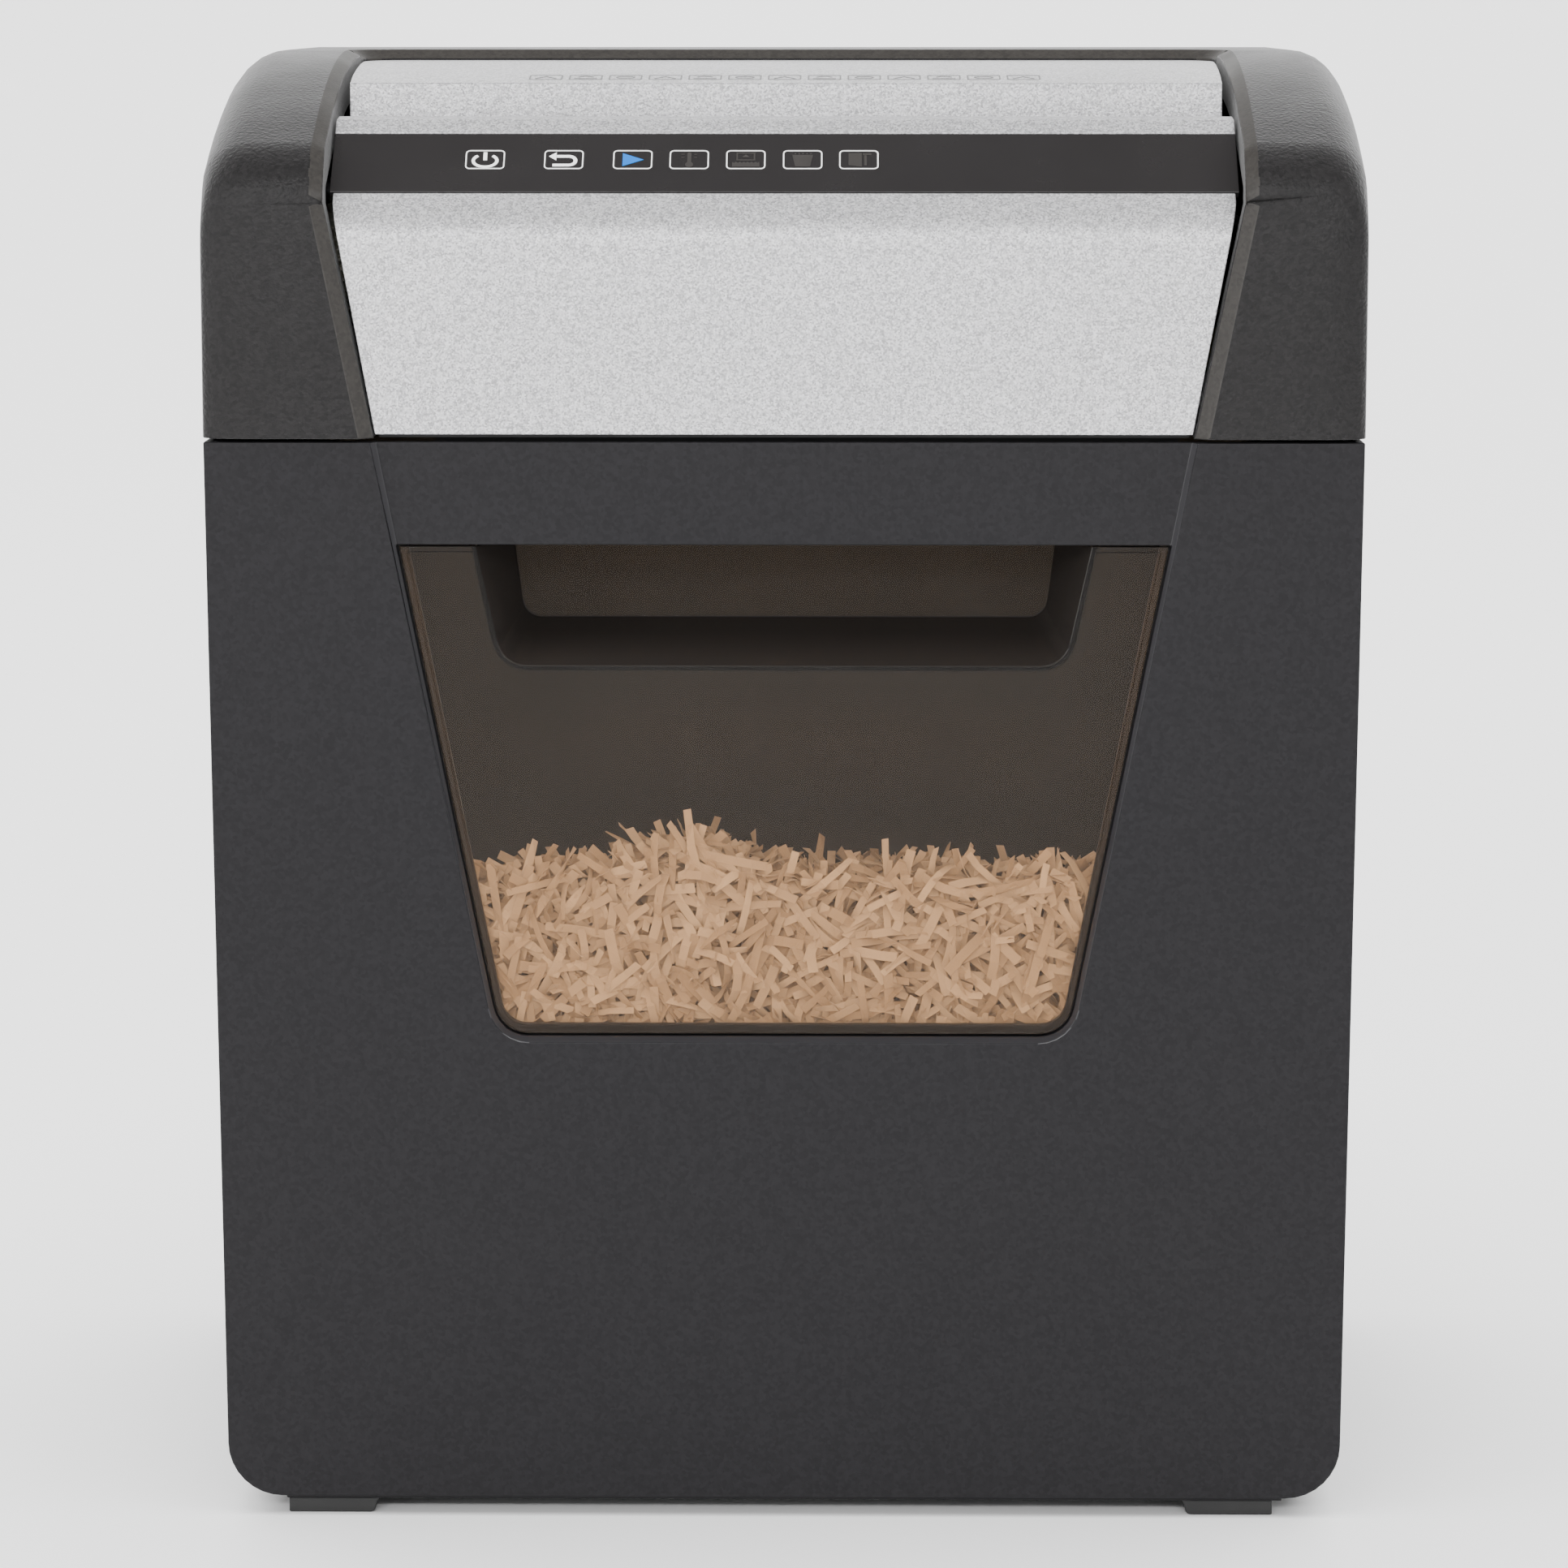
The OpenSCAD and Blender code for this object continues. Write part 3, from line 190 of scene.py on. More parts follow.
def flecked(tree, tone, color, grain, share):
    """Lays a random tone per grain over a colour."""
    place = tree.nodes.new("ShaderNodeTexCoord")
    cells = tree.nodes.new("ShaderNodeTexVoronoi")
    cells.inputs["Scale"].default_value = grain
    tree.links.new(place.outputs["Object"], cells.inputs["Vector"])
    spread = tree.nodes.new("ShaderNodeSeparateColor")
    tree.links.new(cells.outputs["Color"], spread.inputs["Color"])
    grains = two_tone(tree, spread.outputs["Red"], [c * (1 - share) for c in color],
                      [c * (1 + share) for c in color])
    mix = tree.nodes.new("ShaderNodeMix")
    mix.data_type = "RGBA"
    mix.inputs["Factor"].default_value = FLECK_SHARE
    tree.links.new(tone, mix.inputs["A"])
    tree.links.new(grains, mix.inputs["B"])
    return mix.outputs["Result"]


def finish(name, color, rough, drift=0.08, drift_scale=18, grain=1500, depth=0.02, rough_drift=0.05,
           stretch=(1, 1, 1), metallic=0.0, specular=0.5, wave=0.0, flecks=0.0, sheen=0.0):
    """A surface whose colour and sheen drift over centimetres, with a fine grain of depth mm in its relief.

    flecks is how far single grains stray from the colour, as a share of it.
    """
    material = bpy.data.materials.new(name)
    material.use_nodes = True
    tree = material.node_tree
    shader = tree.nodes["Principled BSDF"]
    shader.inputs["Metallic"].default_value = metallic
    shader.inputs["Specular IOR Level"].default_value = specular
    shader.inputs["Sheen Weight"].default_value = sheen
    slow = noise(tree, drift_scale, 4.0)
    fine = noise(tree, grain, 2.0, stretch)
    dark = [c * (1 - drift) for c in color]
    light = [min(1, c * (1 + drift)) for c in color]
    tone = two_tone(tree, slow, dark, light)
    if flecks:
        tone = flecked(tree, tone, color, grain, flecks)
    tree.links.new(tone, shader.inputs["Base Color"])
    tree.links.new(socket_range(tree, noise(tree, drift_scale * 2.3, 5.0), rough - rough_drift,
                                rough + rough_drift), shader.inputs["Roughness"])
    relief = bump(tree, fine, depth)
    if wave:
        relief = bump(tree, slow, wave, relief)
    tree.links.new(relief, shader.inputs["Normal"])
    return material


def smoky_window():
    """Clear brown polycarbonate: light passes it tinted, and its surfaces give a thin gloss and haze."""
    material = finish("smoky_window", (0.062, 0.058, 0.056), 0.12, drift=0.15, drift_scale=25, grain=60,
                      depth=0.004, rough_drift=0.05)
    tree = material.node_tree
    shader = tree.nodes["Principled BSDF"]
    output = tree.nodes["Material Output"]
    clear = tree.nodes.new("ShaderNodeBsdfTransparent")
    clear.inputs["Color"].default_value = PANE_TINT
    mix = tree.nodes.new("ShaderNodeMixShader")
    mix.inputs["Fac"].default_value = PANE_HAZE
    tree.links.new(clear.outputs["BSDF"], mix.inputs[1])
    tree.links.new(shader.outputs["BSDF"], mix.inputs[2])
    tree.links.new(mix.outputs["Shader"], output.inputs["Surface"])
    return material


def shred_paper():
    """Office paper: off-white, each shred its own tone, with faint fibres."""
    material = finish("shred_paper", (0.80, 0.77, 0.72), 0.85, drift=0.05, drift_scale=30, grain=2400,
                      depth=0.015, rough_drift=0.05, specular=0.25)
    tree = material.node_tree
    shader = tree.nodes["Principled BSDF"]
    tone = tree.nodes.new("ShaderNodeAttribute")
    tone.attribute_name = "tone"
    tree.links.new(two_tone(tree, tone.outputs["Fac"], PAPER_DARK, PAPER_LIGHT), shader.inputs["Base Color"])
    return material


def lit_symbol():
    """A blue lens lit from behind, its glow varying a little across it."""
    material = finish("lit_blue", (0.0, 0.05, 0.3), 0.3, drift=0.1, drift_scale=300, grain=900, depth=0.004,
                      specular=0.2)
    tree = material.node_tree
    shader = tree.nodes["Principled BSDF"]
    glow = two_tone(tree, noise(tree, 260), LAMP_DEEP, LAMP_BRIGHT)
    tree.links.new(glow, shader.inputs["Emission Color"])
    shader.inputs["Emission Strength"].default_value = LAMP_STRENGTH
    return material


FINISH = {
    "cover": finish("cover_plastic", (0.0066, 0.0060, 0.0062), 0.44, grain=900, depth=0.32, drift=0.06,
                    specular=0.165, flecks=0.6, sheen=0.16),
    # painted light: the bevel round the fascia opening is coloured about three times lighter than the cover,
    # standing for light thrown on it from the silver fascia
    "cover_bevel_painted_light": finish("cover_bevel_painted_light", (0.0235, 0.0215, 0.0195), 0.5, grain=1100, depth=0.06, drift=0.08,
                          specular=0.3, flecks=0.3),
    # painted highlight: the trapezoid's bevel is coloured lighter than the panel, standing for the highlight
    # along its edges
    "panel_bevel_painted_highlight": finish("panel_bevel_painted_highlight", (0.016, 0.0155, 0.0175), 0.35, grain=900, depth=0.03, drift=0.08,
                          specular=0.5),
    # painted shade: the pane's sides and the hand scoop, the same smoky plastic, get an opaque dark colour,
    # lifted a little as painted glints in the scoop
    "pane_edge_painted_shade": finish("pane_edge_painted_shade", (0.020, 0.017, 0.0152), 0.2, grain=60, depth=0.004, drift=0.15,
                        specular=0.4),
    "cabinet": finish("cabinet_plastic", (0.0105, 0.01, 0.0112), 0.45, grain=900, depth=0.04, wave=0.15,
                      specular=0.16),
    "panel": finish("panel_plastic", (0.0095, 0.009, 0.0102), 0.45, grain=900, depth=0.04, wave=0.12,
                    specular=0.15, flecks=0.3),
    "silver": finish("silver_paint", (0.435, 0.432, 0.442), 0.4, drift=0.02, drift_scale=9, grain=2000,
                     depth=0.16, rough_drift=0.03, metallic=0.45, flecks=0.6),
    "strip": finish("gloss_strip", (0.0145, 0.0132, 0.0134), 0.25, drift=0.12, grain=420, depth=0.003),
    "window": smoky_window(),
    "black": finish("black_moulding", (0.018, 0.018, 0.019), 0.48, grain=1500, depth=0.025),
    "rubber": finish("foot_rubber", (0.012, 0.012, 0.012), 0.75, grain=1200, depth=0.05, drift=0.2),
    "paper": shred_paper(),
    # painted shade: a dark, mottled paper colour for the block under the shreds, so the gaps between them read
    # as shade
    "core": finish("shreds_painted_shade", (0.36, 0.31, 0.25), 0.9, drift=0.45, drift_scale=420, grain=500, depth=1.2,
                   specular=0.2),
    "print": finish("white_print", (0.86, 0.86, 0.85), 0.45, drift=0.03, grain=2500, depth=0.01),
    "ghost": finish("unlit_symbol", (0.029, 0.0265, 0.025), 0.35, drift=0.15, drift_scale=200, grain=2000,
                    depth=0.005),
    "faint": finish("grey_print", (0.17, 0.17, 0.17), 0.6, drift=0.06, grain=2300, depth=0.01, specular=0.1),
    "lit": lit_symbol(),
    "zinc": finish("zinc_steel", (0.58, 0.59, 0.60), 0.34, drift=0.1, grain=260, depth=0.02,
                   stretch=(1, 1, 9), metallic=1.0),
    "cutter": finish("cutter_steel", (0.30, 0.31, 0.33), 0.3, drift=0.2, drift_scale=60, grain=900, depth=0.02,
                     stretch=(6, 1, 1), metallic=1.0),
    "gear": finish("gear_steel", (0.22, 0.225, 0.235), 0.45, drift=0.15, drift_scale=80, grain=1700, depth=0.03,
                   metallic=0.9),
    "bronze": finish("bush_bronze", (0.46, 0.29, 0.12), 0.38, drift=0.15, drift_scale=90, grain=1500,
                     depth=0.02, metallic=1.0),
    "nylon": finish("nylon", (0.72, 0.69, 0.60), 0.42, drift=0.05, grain=700, depth=0.008),
    "laminate": finish("motor_steel", (0.30, 0.30, 0.31), 0.42, drift=0.12, grain=900, depth=0.05,
                       stretch=(12, 1, 1), metallic=1.0),
    "copper": finish("coil_copper", (0.52, 0.20, 0.07), 0.3, drift=0.2, drift_scale=70, grain=800, depth=0.12,
                     stretch=(8, 1, 1), metallic=0.9),
    "cast": finish("cast_aluminium", (0.52, 0.53, 0.54), 0.5, drift=0.08, grain=1100, depth=0.05, metallic=1.0),
    "board": finish("board_green", (0.03, 0.16, 0.06), 0.32, drift=0.18, drift_scale=140, grain=700,
                    depth=0.02),
    "parts": finish("board_parts", (0.22, 0.17, 0.05), 0.4, drift=0.2, drift_scale=60, grain=1300, depth=0.02),
    "lens": finish("led_lens", (0.72, 0.82, 0.90), 0.12, drift=0.05, grain=900, depth=0.004),
    "white": finish("white_moulding", (0.74, 0.74, 0.70), 0.45, drift=0.04, grain=1500, depth=0.015),
    "magnet": finish("magnet", (0.46, 0.46, 0.47), 0.25, drift=0.08, grain=1300, depth=0.008, metallic=1.0),
    "sleeve": finish("wire_sleeve", (0.035, 0.03, 0.03), 0.5, drift=0.2, drift_scale=60, grain=1800,
                     depth=0.02),
}

SLOT_FINISH = {
    "cover_plastic": "cover",
    "silver_paint": "silver",
    "gloss_strip": "strip",
    "cabinet_plastic": "cabinet",
    "panel_plastic": "panel",
    "smoky_window": "window",
    "bin_plastic": "black",
    "shredded_paper": "paper",
    "foot_rubber": "rubber",
    "zinc_steel": "zinc",
    "cutter_steel": "cutter",
    "gear_steel": "gear",
    "bush_bronze": "bronze",
    "nylon": "nylon",
    "motor_steel": "laminate",
    "coil_copper": "copper",
    "cast_aluminium": "cast",
    "black_moulding": "black",
    "board_green": "board",
    "board_parts": "parts",
    "led_lens": "lens",
    "white_moulding": "white",
    "magnet": "magnet",
    "wire_sleeve": "sleeve",
}
NODE_SLOT = {part["node"]: part["material_slot"] for part in frame["record"]["subparts"]}
NODE_BODY = {node: body for body, nodes in frame["record"]["behaviour"]["bodies"].items() for node in nodes}

for name, node in frame["nodes"].items():
    node.data.materials.clear()
    node.data.materials.append(FINISH[SLOT_FINISH[NODE_SLOT[name]]])


# ======== softened shells ========
def new_piece(name, mesh, finish_name, body):
    piece = bpy.data.objects.new(name, mesh)
    bpy.context.scene.collection.objects.link(piece)
    mesh.materials.clear()
    mesh.materials.append(FINISH[finish_name])
    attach(piece, body)
    return piece


def clean_copy(node):
    """A welded copy of a CAD node's mesh with its flat faces joined up again."""
    mesh = frame["nodes"][node].data.copy()
    mesh.name = node + "_mesh"
    shell = bmesh.new()
    shell.from_mesh(mesh)
    bmesh.ops.remove_doubles(shell, verts=shell.verts, dist=2e-6)
    bmesh.ops.dissolve_limit(shell, angle_limit=math.radians(0.4), verts=shell.verts, edges=shell.edges)
    for face in shell.faces:
        face.smooth = True
    shell.to_mesh(mesh)
    shell.free()
    for attribute in ("custom_normal", "sharp_edge", "sharp_face"):
        if attribute in mesh.attributes:
            mesh.attributes.remove(mesh.attributes[attribute])
    return mesh


def soften(node, radius_mm, angle_deg, finish_name):
    """A copy of a CAD node with its sharp edges rounded. It stands for the node."""
    piece = new_piece(node + "_soft", clean_copy(node), finish_name, NODE_BODY[node])
    bevel = piece.modifiers.new("edges", "BEVEL")
    bevel.width = radius_mm * MM
    bevel.segments = 3
    bevel.limit_method = "ANGLE"
    bevel.angle_limit = math.radians(angle_deg)
    bevel.use_clamp_overlap = False
    bevel.harden_normals = True
    bevel.miter_outer = "MITER_ARC"
    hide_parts(node)
    return piece


def refinish(node, finish_name, chosen):
    """Gives the faces of a softened shell that chosen(middle, normal) picks a finish of their own."""
    mesh = bpy.data.objects[node + "_soft"].data
    mesh.materials.append(FINISH[finish_name])
    for face in mesh.polygons:
        if chosen(face.center, face.normal):
            face.material_index = 1


def surface_of(node):
    """A CAD node's surface as a tree that answers rays and nearest points."""
    mesh = frame["nodes"][node].data
    points = [v.co.copy() for v in mesh.vertices]
    return BVHTree.FromPolygons(points, [tuple(p.vertices) for p in mesh.polygons])


def settle(node):
    """Keeps the rounded edges as a mesh, with corners that left the shell put back on the CAD surface."""
    piece = bpy.data.objects[node + "_soft"]
    mesh = bpy.data.meshes.new_from_object(piece.evaluated_get(bpy.context.evaluated_depsgraph_get()))
    surface = surface_of(node)
    for vertex in mesh.vertices:
        near, _, _, off = surface.find_nearest(vertex.co)
        if off > STRAY_MM * MM:
            vertex.co = near
    piece.modifiers.clear()
    piece.data = mesh


def is_cover_bevel(middle, normal):
    """The bevel that runs round the opening for the fascia and the paper entry; its lighter colour is painted
    light.
    """
    inward = -normal.x if middle.x > 0 else normal.x
    beside = 0.4 < inward < 0.9 and 0.115 < abs(middle.x) < 0.145 and abs(normal.y) + normal.z > 0.4
    behind = normal.y < -0.3 and normal.z > 0.3 and middle.y > 0.008 and middle.z > 0.44
    return (beside and middle.y < 0.02) or (behind and abs(middle.x) < 0.145)


def is_panel_bevel(middle, normal):
    """The bevel of the sunken trapezoid on the bin's front; its lighter colour is a painted highlight."""
    return middle.y < PANEL_INSET_Y and 0.15 < -normal.y < 0.97 and middle.z > 0.14 and abs(middle.x) < 0.13


def is_pane_edge(middle, normal):
    """The sides of the pane and the hand scoop's walls, which stand square to the pane; their opaque dark
    colour is painted shade.
    """
    return abs(normal.y) < 0.6


# behind the panel's flat front and in front of the sunken trapezoid's floor
PANEL_INSET_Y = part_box("bin_front_panel")[0].y + 2.2 * MM
for shell in SOFT_SHELLS:
    soften(*shell)
# painted light on the cover's bevel
refinish("head_cover", "cover_bevel_painted_light", is_cover_bevel)
# painted highlight on the panel's bevel
refinish("bin_front_panel", "panel_bevel_painted_highlight", is_panel_bevel)
# painted shade on the pane's sides and the scoop
refinish("bin_window", "pane_edge_painted_shade", is_pane_edge)
settle("head_cover")


# ======== shreds ========
HEAP = surface_of("shredded_paper")
HEAP_LOW, HEAP_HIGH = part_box("shredded_paper")
HEAP_EDGE = 0.004
RAY_ABOVE = 0.05


def heap_top(x, y):
    """Height of the heap at a place, in metres, kept inside its edges."""
    x = min(max(x, HEAP_LOW.x + HEAP_EDGE), HEAP_HIGH.x - HEAP_EDGE)
    y = min(max(y, HEAP_LOW.y + HEAP_EDGE), HEAP_HIGH.y - HEAP_EDGE)
    hit = HEAP.ray_cast(Vector((x, y, HEAP_HIGH.z + RAY_ABOVE)), Vector((0, 0, -1)))[0]
    return hit.z if hit else HEAP_LOW.z


def rotation_to(tangent, normal):
    """Columns: along the shred, across it, and out of its face."""
    tangent = tangent / np.linalg.norm(tangent)
    across = np.cross(normal, tangent)
    across = across / np.linalg.norm(across)
    return np.stack([tangent, across, np.cross(tangent, across)], axis=1)


def one_shred(rng, middle, tangent, normal):
    """Corner points of one curled, twisted strip of paper, in metres."""
    stations = SHRED_SEGMENTS + 1
    length = rng.uniform(*SHRED_LENGTH)
    half_width = rng.uniform(*SHRED_WIDTH) / 2
    s = np.linspace(-0.5, 0.5, stations)
    bend = rng.normal(0, 0.9)
    angle = bend * s * length / 22 + rng.normal(0, 0.25) * np.sin(s * 6)
    step = length / SHRED_SEGMENTS
    along = np.concatenate([[0], np.cumsum(np.cos((angle[1:] + angle[:-1]) / 2)) * step])
    rise = np.concatenate([[0], np.cumsum(np.sin((angle[1:] + angle[:-1]) / 2)) * step])
    along -= along.mean()
    rise -= rise.mean()
    twist = rng.normal(0, 0.55) * s * 2
    across = np.stack([-np.sin(twist) * np.sin(angle), np.cos(twist), np.sin(twist) * np.cos(angle)], axis=1)
    out = np.stack([-np.cos(twist) * np.sin(angle), -np.sin(twist), np.cos(twist) * np.cos(angle)], axis=1)
    centre = np.stack([along, np.zeros(stations), rise], axis=1)
    corners = np.stack([centre + u * half_width * across + v * SHRED_THICK / 2 * out
                        for u, v in ((-1, -1), (1, -1), (1, 1), (-1, 1))], axis=1)
    turn = rotation_to(tangent, normal)
    return corners.reshape(-1, 3) @ turn.T * MM + middle


def shred_faces():
    """Quads of one strip, as corner numbers."""
    quads = [(0, 1, 2, 3)]
    for i in range(SHRED_SEGMENTS):
        a = 4 * i
        for k in range(4):
            quads.append((a + (k + 1) % 4, a + k, a + 4 + k, a + 4 + (k + 1) % 4))
    last = 4 * SHRED_SEGMENTS
    quads.append((last + 3, last + 2, last + 1, last))
    return np.array(quads)


def shreds(name, strips, rng):
    """One mesh of many strips, each with a tone of its own."""
    faces = shred_faces()
    per = 4 * (SHRED_SEGMENTS + 1)
    points = np.concatenate(strips)
    quads = np.concatenate([faces + per * i for i in range(len(strips))])
    mesh = bpy.data.meshes.new(name)
    mesh.from_pydata(points.tolist(), [], quads.tolist())
    mesh.update()
    tone = mesh.attributes.new("tone", "FLOAT", "POINT")
    tone.data.foreach_set("value", np.repeat(rng.uniform(0, 1, len(strips)), per).astype(np.float32))
    return new_piece(name, mesh, "paper", "bin")


TUB_LOW, TUB_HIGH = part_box("bin_tub")
PANE_BACK_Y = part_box("bin_window")[0].y + 3.0 * MM
TUB_FRONT_Y = TUB_LOW.y + 2.9 * MM
TUB_FLOOR_Z = TUB_LOW.z + 3.0 * MM
TUB_WALL = 3.2 * MM
WINDOW_LEAN = 0.186
WINDOW_FOOT_Z = 0.153
WINDOW_FOOT_X = 0.0899
WINDOW_FRAME = 5.5 * MM


def window_half_width(z):
    return WINDOW_FOOT_X + WINDOW_LEAN * (z - WINDOW_FOOT_Z)


def keep_in_bin(strip):
    """Moves a strip back until no corner reaches the pane, the tub's walls or its floor."""
    x, y, z = strip.T
    between = np.abs(x) < window_half_width(z) - WINDOW_FRAME
    in_window = between & (z > WINDOW_FOOT_Z + WINDOW_FRAME)
    limit = np.where(in_window, PANE_BACK_Y, TUB_FRONT_Y)
    side = TUB_HIGH.x - TUB_WALL
    shift = np.zeros(3)
    shift[0] = max(0, (-side - x).max()) - max(0, (x - side).max())
    shift[1] = max(0, (limit - y).max()) - max(0, (y - (TUB_HIGH.y - TUB_WALL)).max())
    shift[2] = max(0, (TUB_FLOOR_Z - z).max())
    return strip + shift


def heap_core():
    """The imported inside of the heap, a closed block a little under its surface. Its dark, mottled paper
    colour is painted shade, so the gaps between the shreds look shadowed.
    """
    cols, rows = CORE_GRID
    rng = np.random.default_rng(SHRED_SEED + 2)
    inset = 6 * MM
    xs = np.linspace(HEAP_LOW.x + inset, HEAP_HIGH.x - inset, cols)
    ys = np.linspace(HEAP_LOW.y + CORE_DEPTH * MM, HEAP_HIGH.y - inset, rows)
    rough = rng.normal(0, 0.9, (rows, cols)) * MM
    top = [(x, y, heap_top(x, y) - CORE_DEPTH * MM + rough[j, i]) for j, y in enumerate(ys)
           for i, x in enumerate(xs)]
    shell = bmesh.new()
    verts = [shell.verts.new(p) for p in top]
    for j in range(rows - 1):
        for i in range(cols - 1):
            a = j * cols + i
            shell.faces.new((verts[a], verts[a + 1], verts[a + cols + 1], verts[a + cols]))
    rim = [verts[i] for i in range(cols)]
    rim += [verts[j * cols + cols - 1] for j in range(1, rows)]
    rim += [verts[(rows - 1) * cols + i] for i in range(cols - 2, -1, -1)]
    rim += [verts[j * cols] for j in range(rows - 2, 0, -1)]
    foot = [shell.verts.new((v.co.x, v.co.y, TUB_FLOOR_Z)) for v in rim]
    for k in range(len(rim)):
        n = (k + 1) % len(rim)
        shell.faces.new((rim[n], rim[k], foot[k], foot[n]))
    shell.faces.new(list(reversed(foot)))
    bmesh.ops.recalc_face_normals(shell, faces=shell.faces)
    mesh = bpy.data.meshes.new("heap_core")
    shell.to_mesh(mesh)
    shell.free()
    return new_piece("heap_core", mesh, "core", "bin")


def front_strips(rng):
    """Strips that lie against the window, mostly face on."""
    found = []
    for _ in range(FRONT_SHREDS):
        z = rng.uniform(*FRONT_SHREDS_Z)
        x = rng.uniform(-1, 1) * (window_half_width(z) + 4 * MM)
        if z > heap_top(x, HEAP_LOW.y) + 0.001:
            continue
        y = TUB_FRONT_Y + rng.uniform(0, 1) ** 1.5 * FRONT_SHREDS_DEEP
        lie = rng.uniform(0, math.pi)
        tangent = np.array([math.cos(lie), rng.normal(0, 0.25), math.sin(lie)])
        normal = np.array([rng.normal(0, 0.5), -1, rng.normal(0.15, 0.5)])
        found.append(keep_in_bin(one_shred(rng, (x, y, z), tangent, normal)))
    return found


def top_strips(rng):
    """Strips scattered over the heap, denser in front, some standing on end."""
    found = []
    for _ in range(TOP_SHREDS):
        x = rng.uniform(HEAP_LOW.x + 0.003, HEAP_HIGH.x - 0.003)
        deep = rng.uniform(0, 1)
        y = HEAP_LOW.y + (0.03 * rng.uniform(0, 1) if deep < 0.25 else deep * (HEAP_HIGH.y - HEAP_LOW.y))
        lift = rng.normal(0, 0.38)
        lie = rng.uniform(0, 2 * math.pi)
        tangent = np.array([math.cos(lie), math.sin(lie), math.tan(max(-1.2, min(1.2, lift)))])
        normal = np.array([rng.normal(0, 0.45), rng.normal(-0.15, 0.45), 1])
        z = heap_top(x, y) + rng.uniform(-0.004, 0.0015)
        found.append(keep_in_bin(one_shred(rng, (x, y, z), tangent, normal)))
    return found


core = heap_core()
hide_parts("shredded_paper")
window_rng = np.random.default_rng(SHRED_SEED)
shreds("window_shreds", front_strips(window_rng), window_rng)
surface_rng = np.random.default_rng(SHRED_SEED + 1)
shreds("surface_shreds", top_strips(surface_rng), surface_rng)


# ======== symbols ========
def ring(width, height, radius, steps=5):
    """Rounded rectangle about the origin, counter-clockwise."""
    points = []
    for cx, cy, start in ((1, -1, -90), (1, 1, 0), (-1, 1, 90), (-1, -1, 180)):
        for i in range(steps + 1):
            a = math.radians(start + 90 * i / steps)
            points.append((cx * (width / 2 - radius) + radius * math.cos(a),
                           cy * (height / 2 - radius) + radius * math.sin(a)))
    return points


class Ink:
    """Thin raised marks drawn in millimetres on a sloping plane, gathered in one closed mesh."""

    def __init__(self, origin, up):
        self.origin = Vector(origin)
        self.up = Vector(up).normalized()
        self.side = Vector((1, 0, 0))
        self.out = self.side.cross(self.up)
        self.shell = bmesh.new()

    def place(self, point, height):
        return self.origin + MM * (self.side * point[0] + self.up * point[1] + self.out * height)

    def band(self, outer, inner):
        """A closed ring between two outlines with as many points."""
        n = len(outer)
        loops = [[self.shell.verts.new(self.place(p, h)) for p in line]
                 for line, h in ((outer, -INK), (outer, INK), (inner, INK), (inner, -INK))]
        for k in range(4):
            a, b = loops[k], loops[(k + 1) % 4]
            for i in range(n):
                j = (i + 1) % n
                self.shell.faces.new((a[i], a[j], b[j], b[i]))

    def solid(self, outline):
        """A filled outline, counter-clockwise."""
        low = [self.shell.verts.new(self.place(p, -INK)) for p in outline]
        high = [self.shell.verts.new(self.place(p, INK)) for p in outline]
        self.shell.faces.new(high)
        self.shell.faces.new(list(reversed(low)))
        for i in range(len(outline)):
            j = (i + 1) % len(outline)
            self.shell.faces.new((low[i], low[j], high[j], high[i]))

    def line(self, points, width):
        """A line of a given width with mitred corners."""
        points = [Vector(p) for p in points]
        left, right = [], []
        for i, p in enumerate(points):
            before = (p - points[i - 1]).normalized() if i else None
            after = (points[i + 1] - p).normalized() if i + 1 < len(points) else None
            way = ((before or after) + (after or before)).normalized()
            square = Vector((-way.y, way.x))
            reach = width / 2 / max(0.4, way.dot(after or before))
            left.append(p + square * reach)
            right.append(p - square * reach)
        self.solid([tuple(p) for p in right + left[::-1]])

    def piece(self, name, finish_name, slot=None):
        bmesh.ops.recalc_face_normals(self.shell, faces=self.shell.faces)
        mesh = bpy.data.meshes.new(name)
        self.shell.to_mesh(mesh)
        self.shell.free()
        return new_piece(name, mesh, finish_name, "case")


def moved(points, x):
    return [(x + p[0], p[1]) for p in points]


def curve(cx, cy, radius, start, end, steps=14):
    return [(cx + radius * math.cos(math.radians(start + (end - start) * i / steps)),
             cy + radius * math.sin(math.radians(start + (end - start) * i / steps))) for i in range(steps + 1)]


def framed(ink, x, size, line, radius):
    """The rounded frame round one symbol."""
    inner = ring(size[0] - 2 * line, size[1] - 2 * line, radius - line)
    ink.band(moved(ring(*size, radius), x), moved(inner, x))


STRIP_LOW, STRIP_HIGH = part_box("control_strip")
STRIP_SLOPE = math.radians(40)
STRIP_UP = Vector((0, math.cos(STRIP_SLOPE), math.sin(STRIP_SLOPE)))
STRIP_FOOT = Vector((0, STRIP_LOW.y, STRIP_HIGH.z - STRIP_LONG * MM * math.sin(STRIP_SLOPE)))
STRIP_POINT = STRIP_FOOT + STRIP_UP * STRIP_MIDDLE * MM


def power_symbol(ink, x):
    wide = [(1.3 * px, py) for px, py in curve(0, -0.5, 2.8, 128, 412, 22)]
    ink.line(moved(wide, x), 1.0)
    ink.line(moved([(0, -0.3), (0, 3.3)], x), 1.15)


def reverse_symbol(ink, x):
    """A plain arrow that turns back to the left."""
    ink.line(moved([(-2.2, 1.5), (1.6, 1.5)] + curve(1.6, -0.5, 2.0, 80, -90, 9) + [(-3.4, -2.5)], x), 1.1)
    ink.solid(moved([(-4.6, 1.5), (-2.3, -0.3), (-2.3, 3.3)], x))


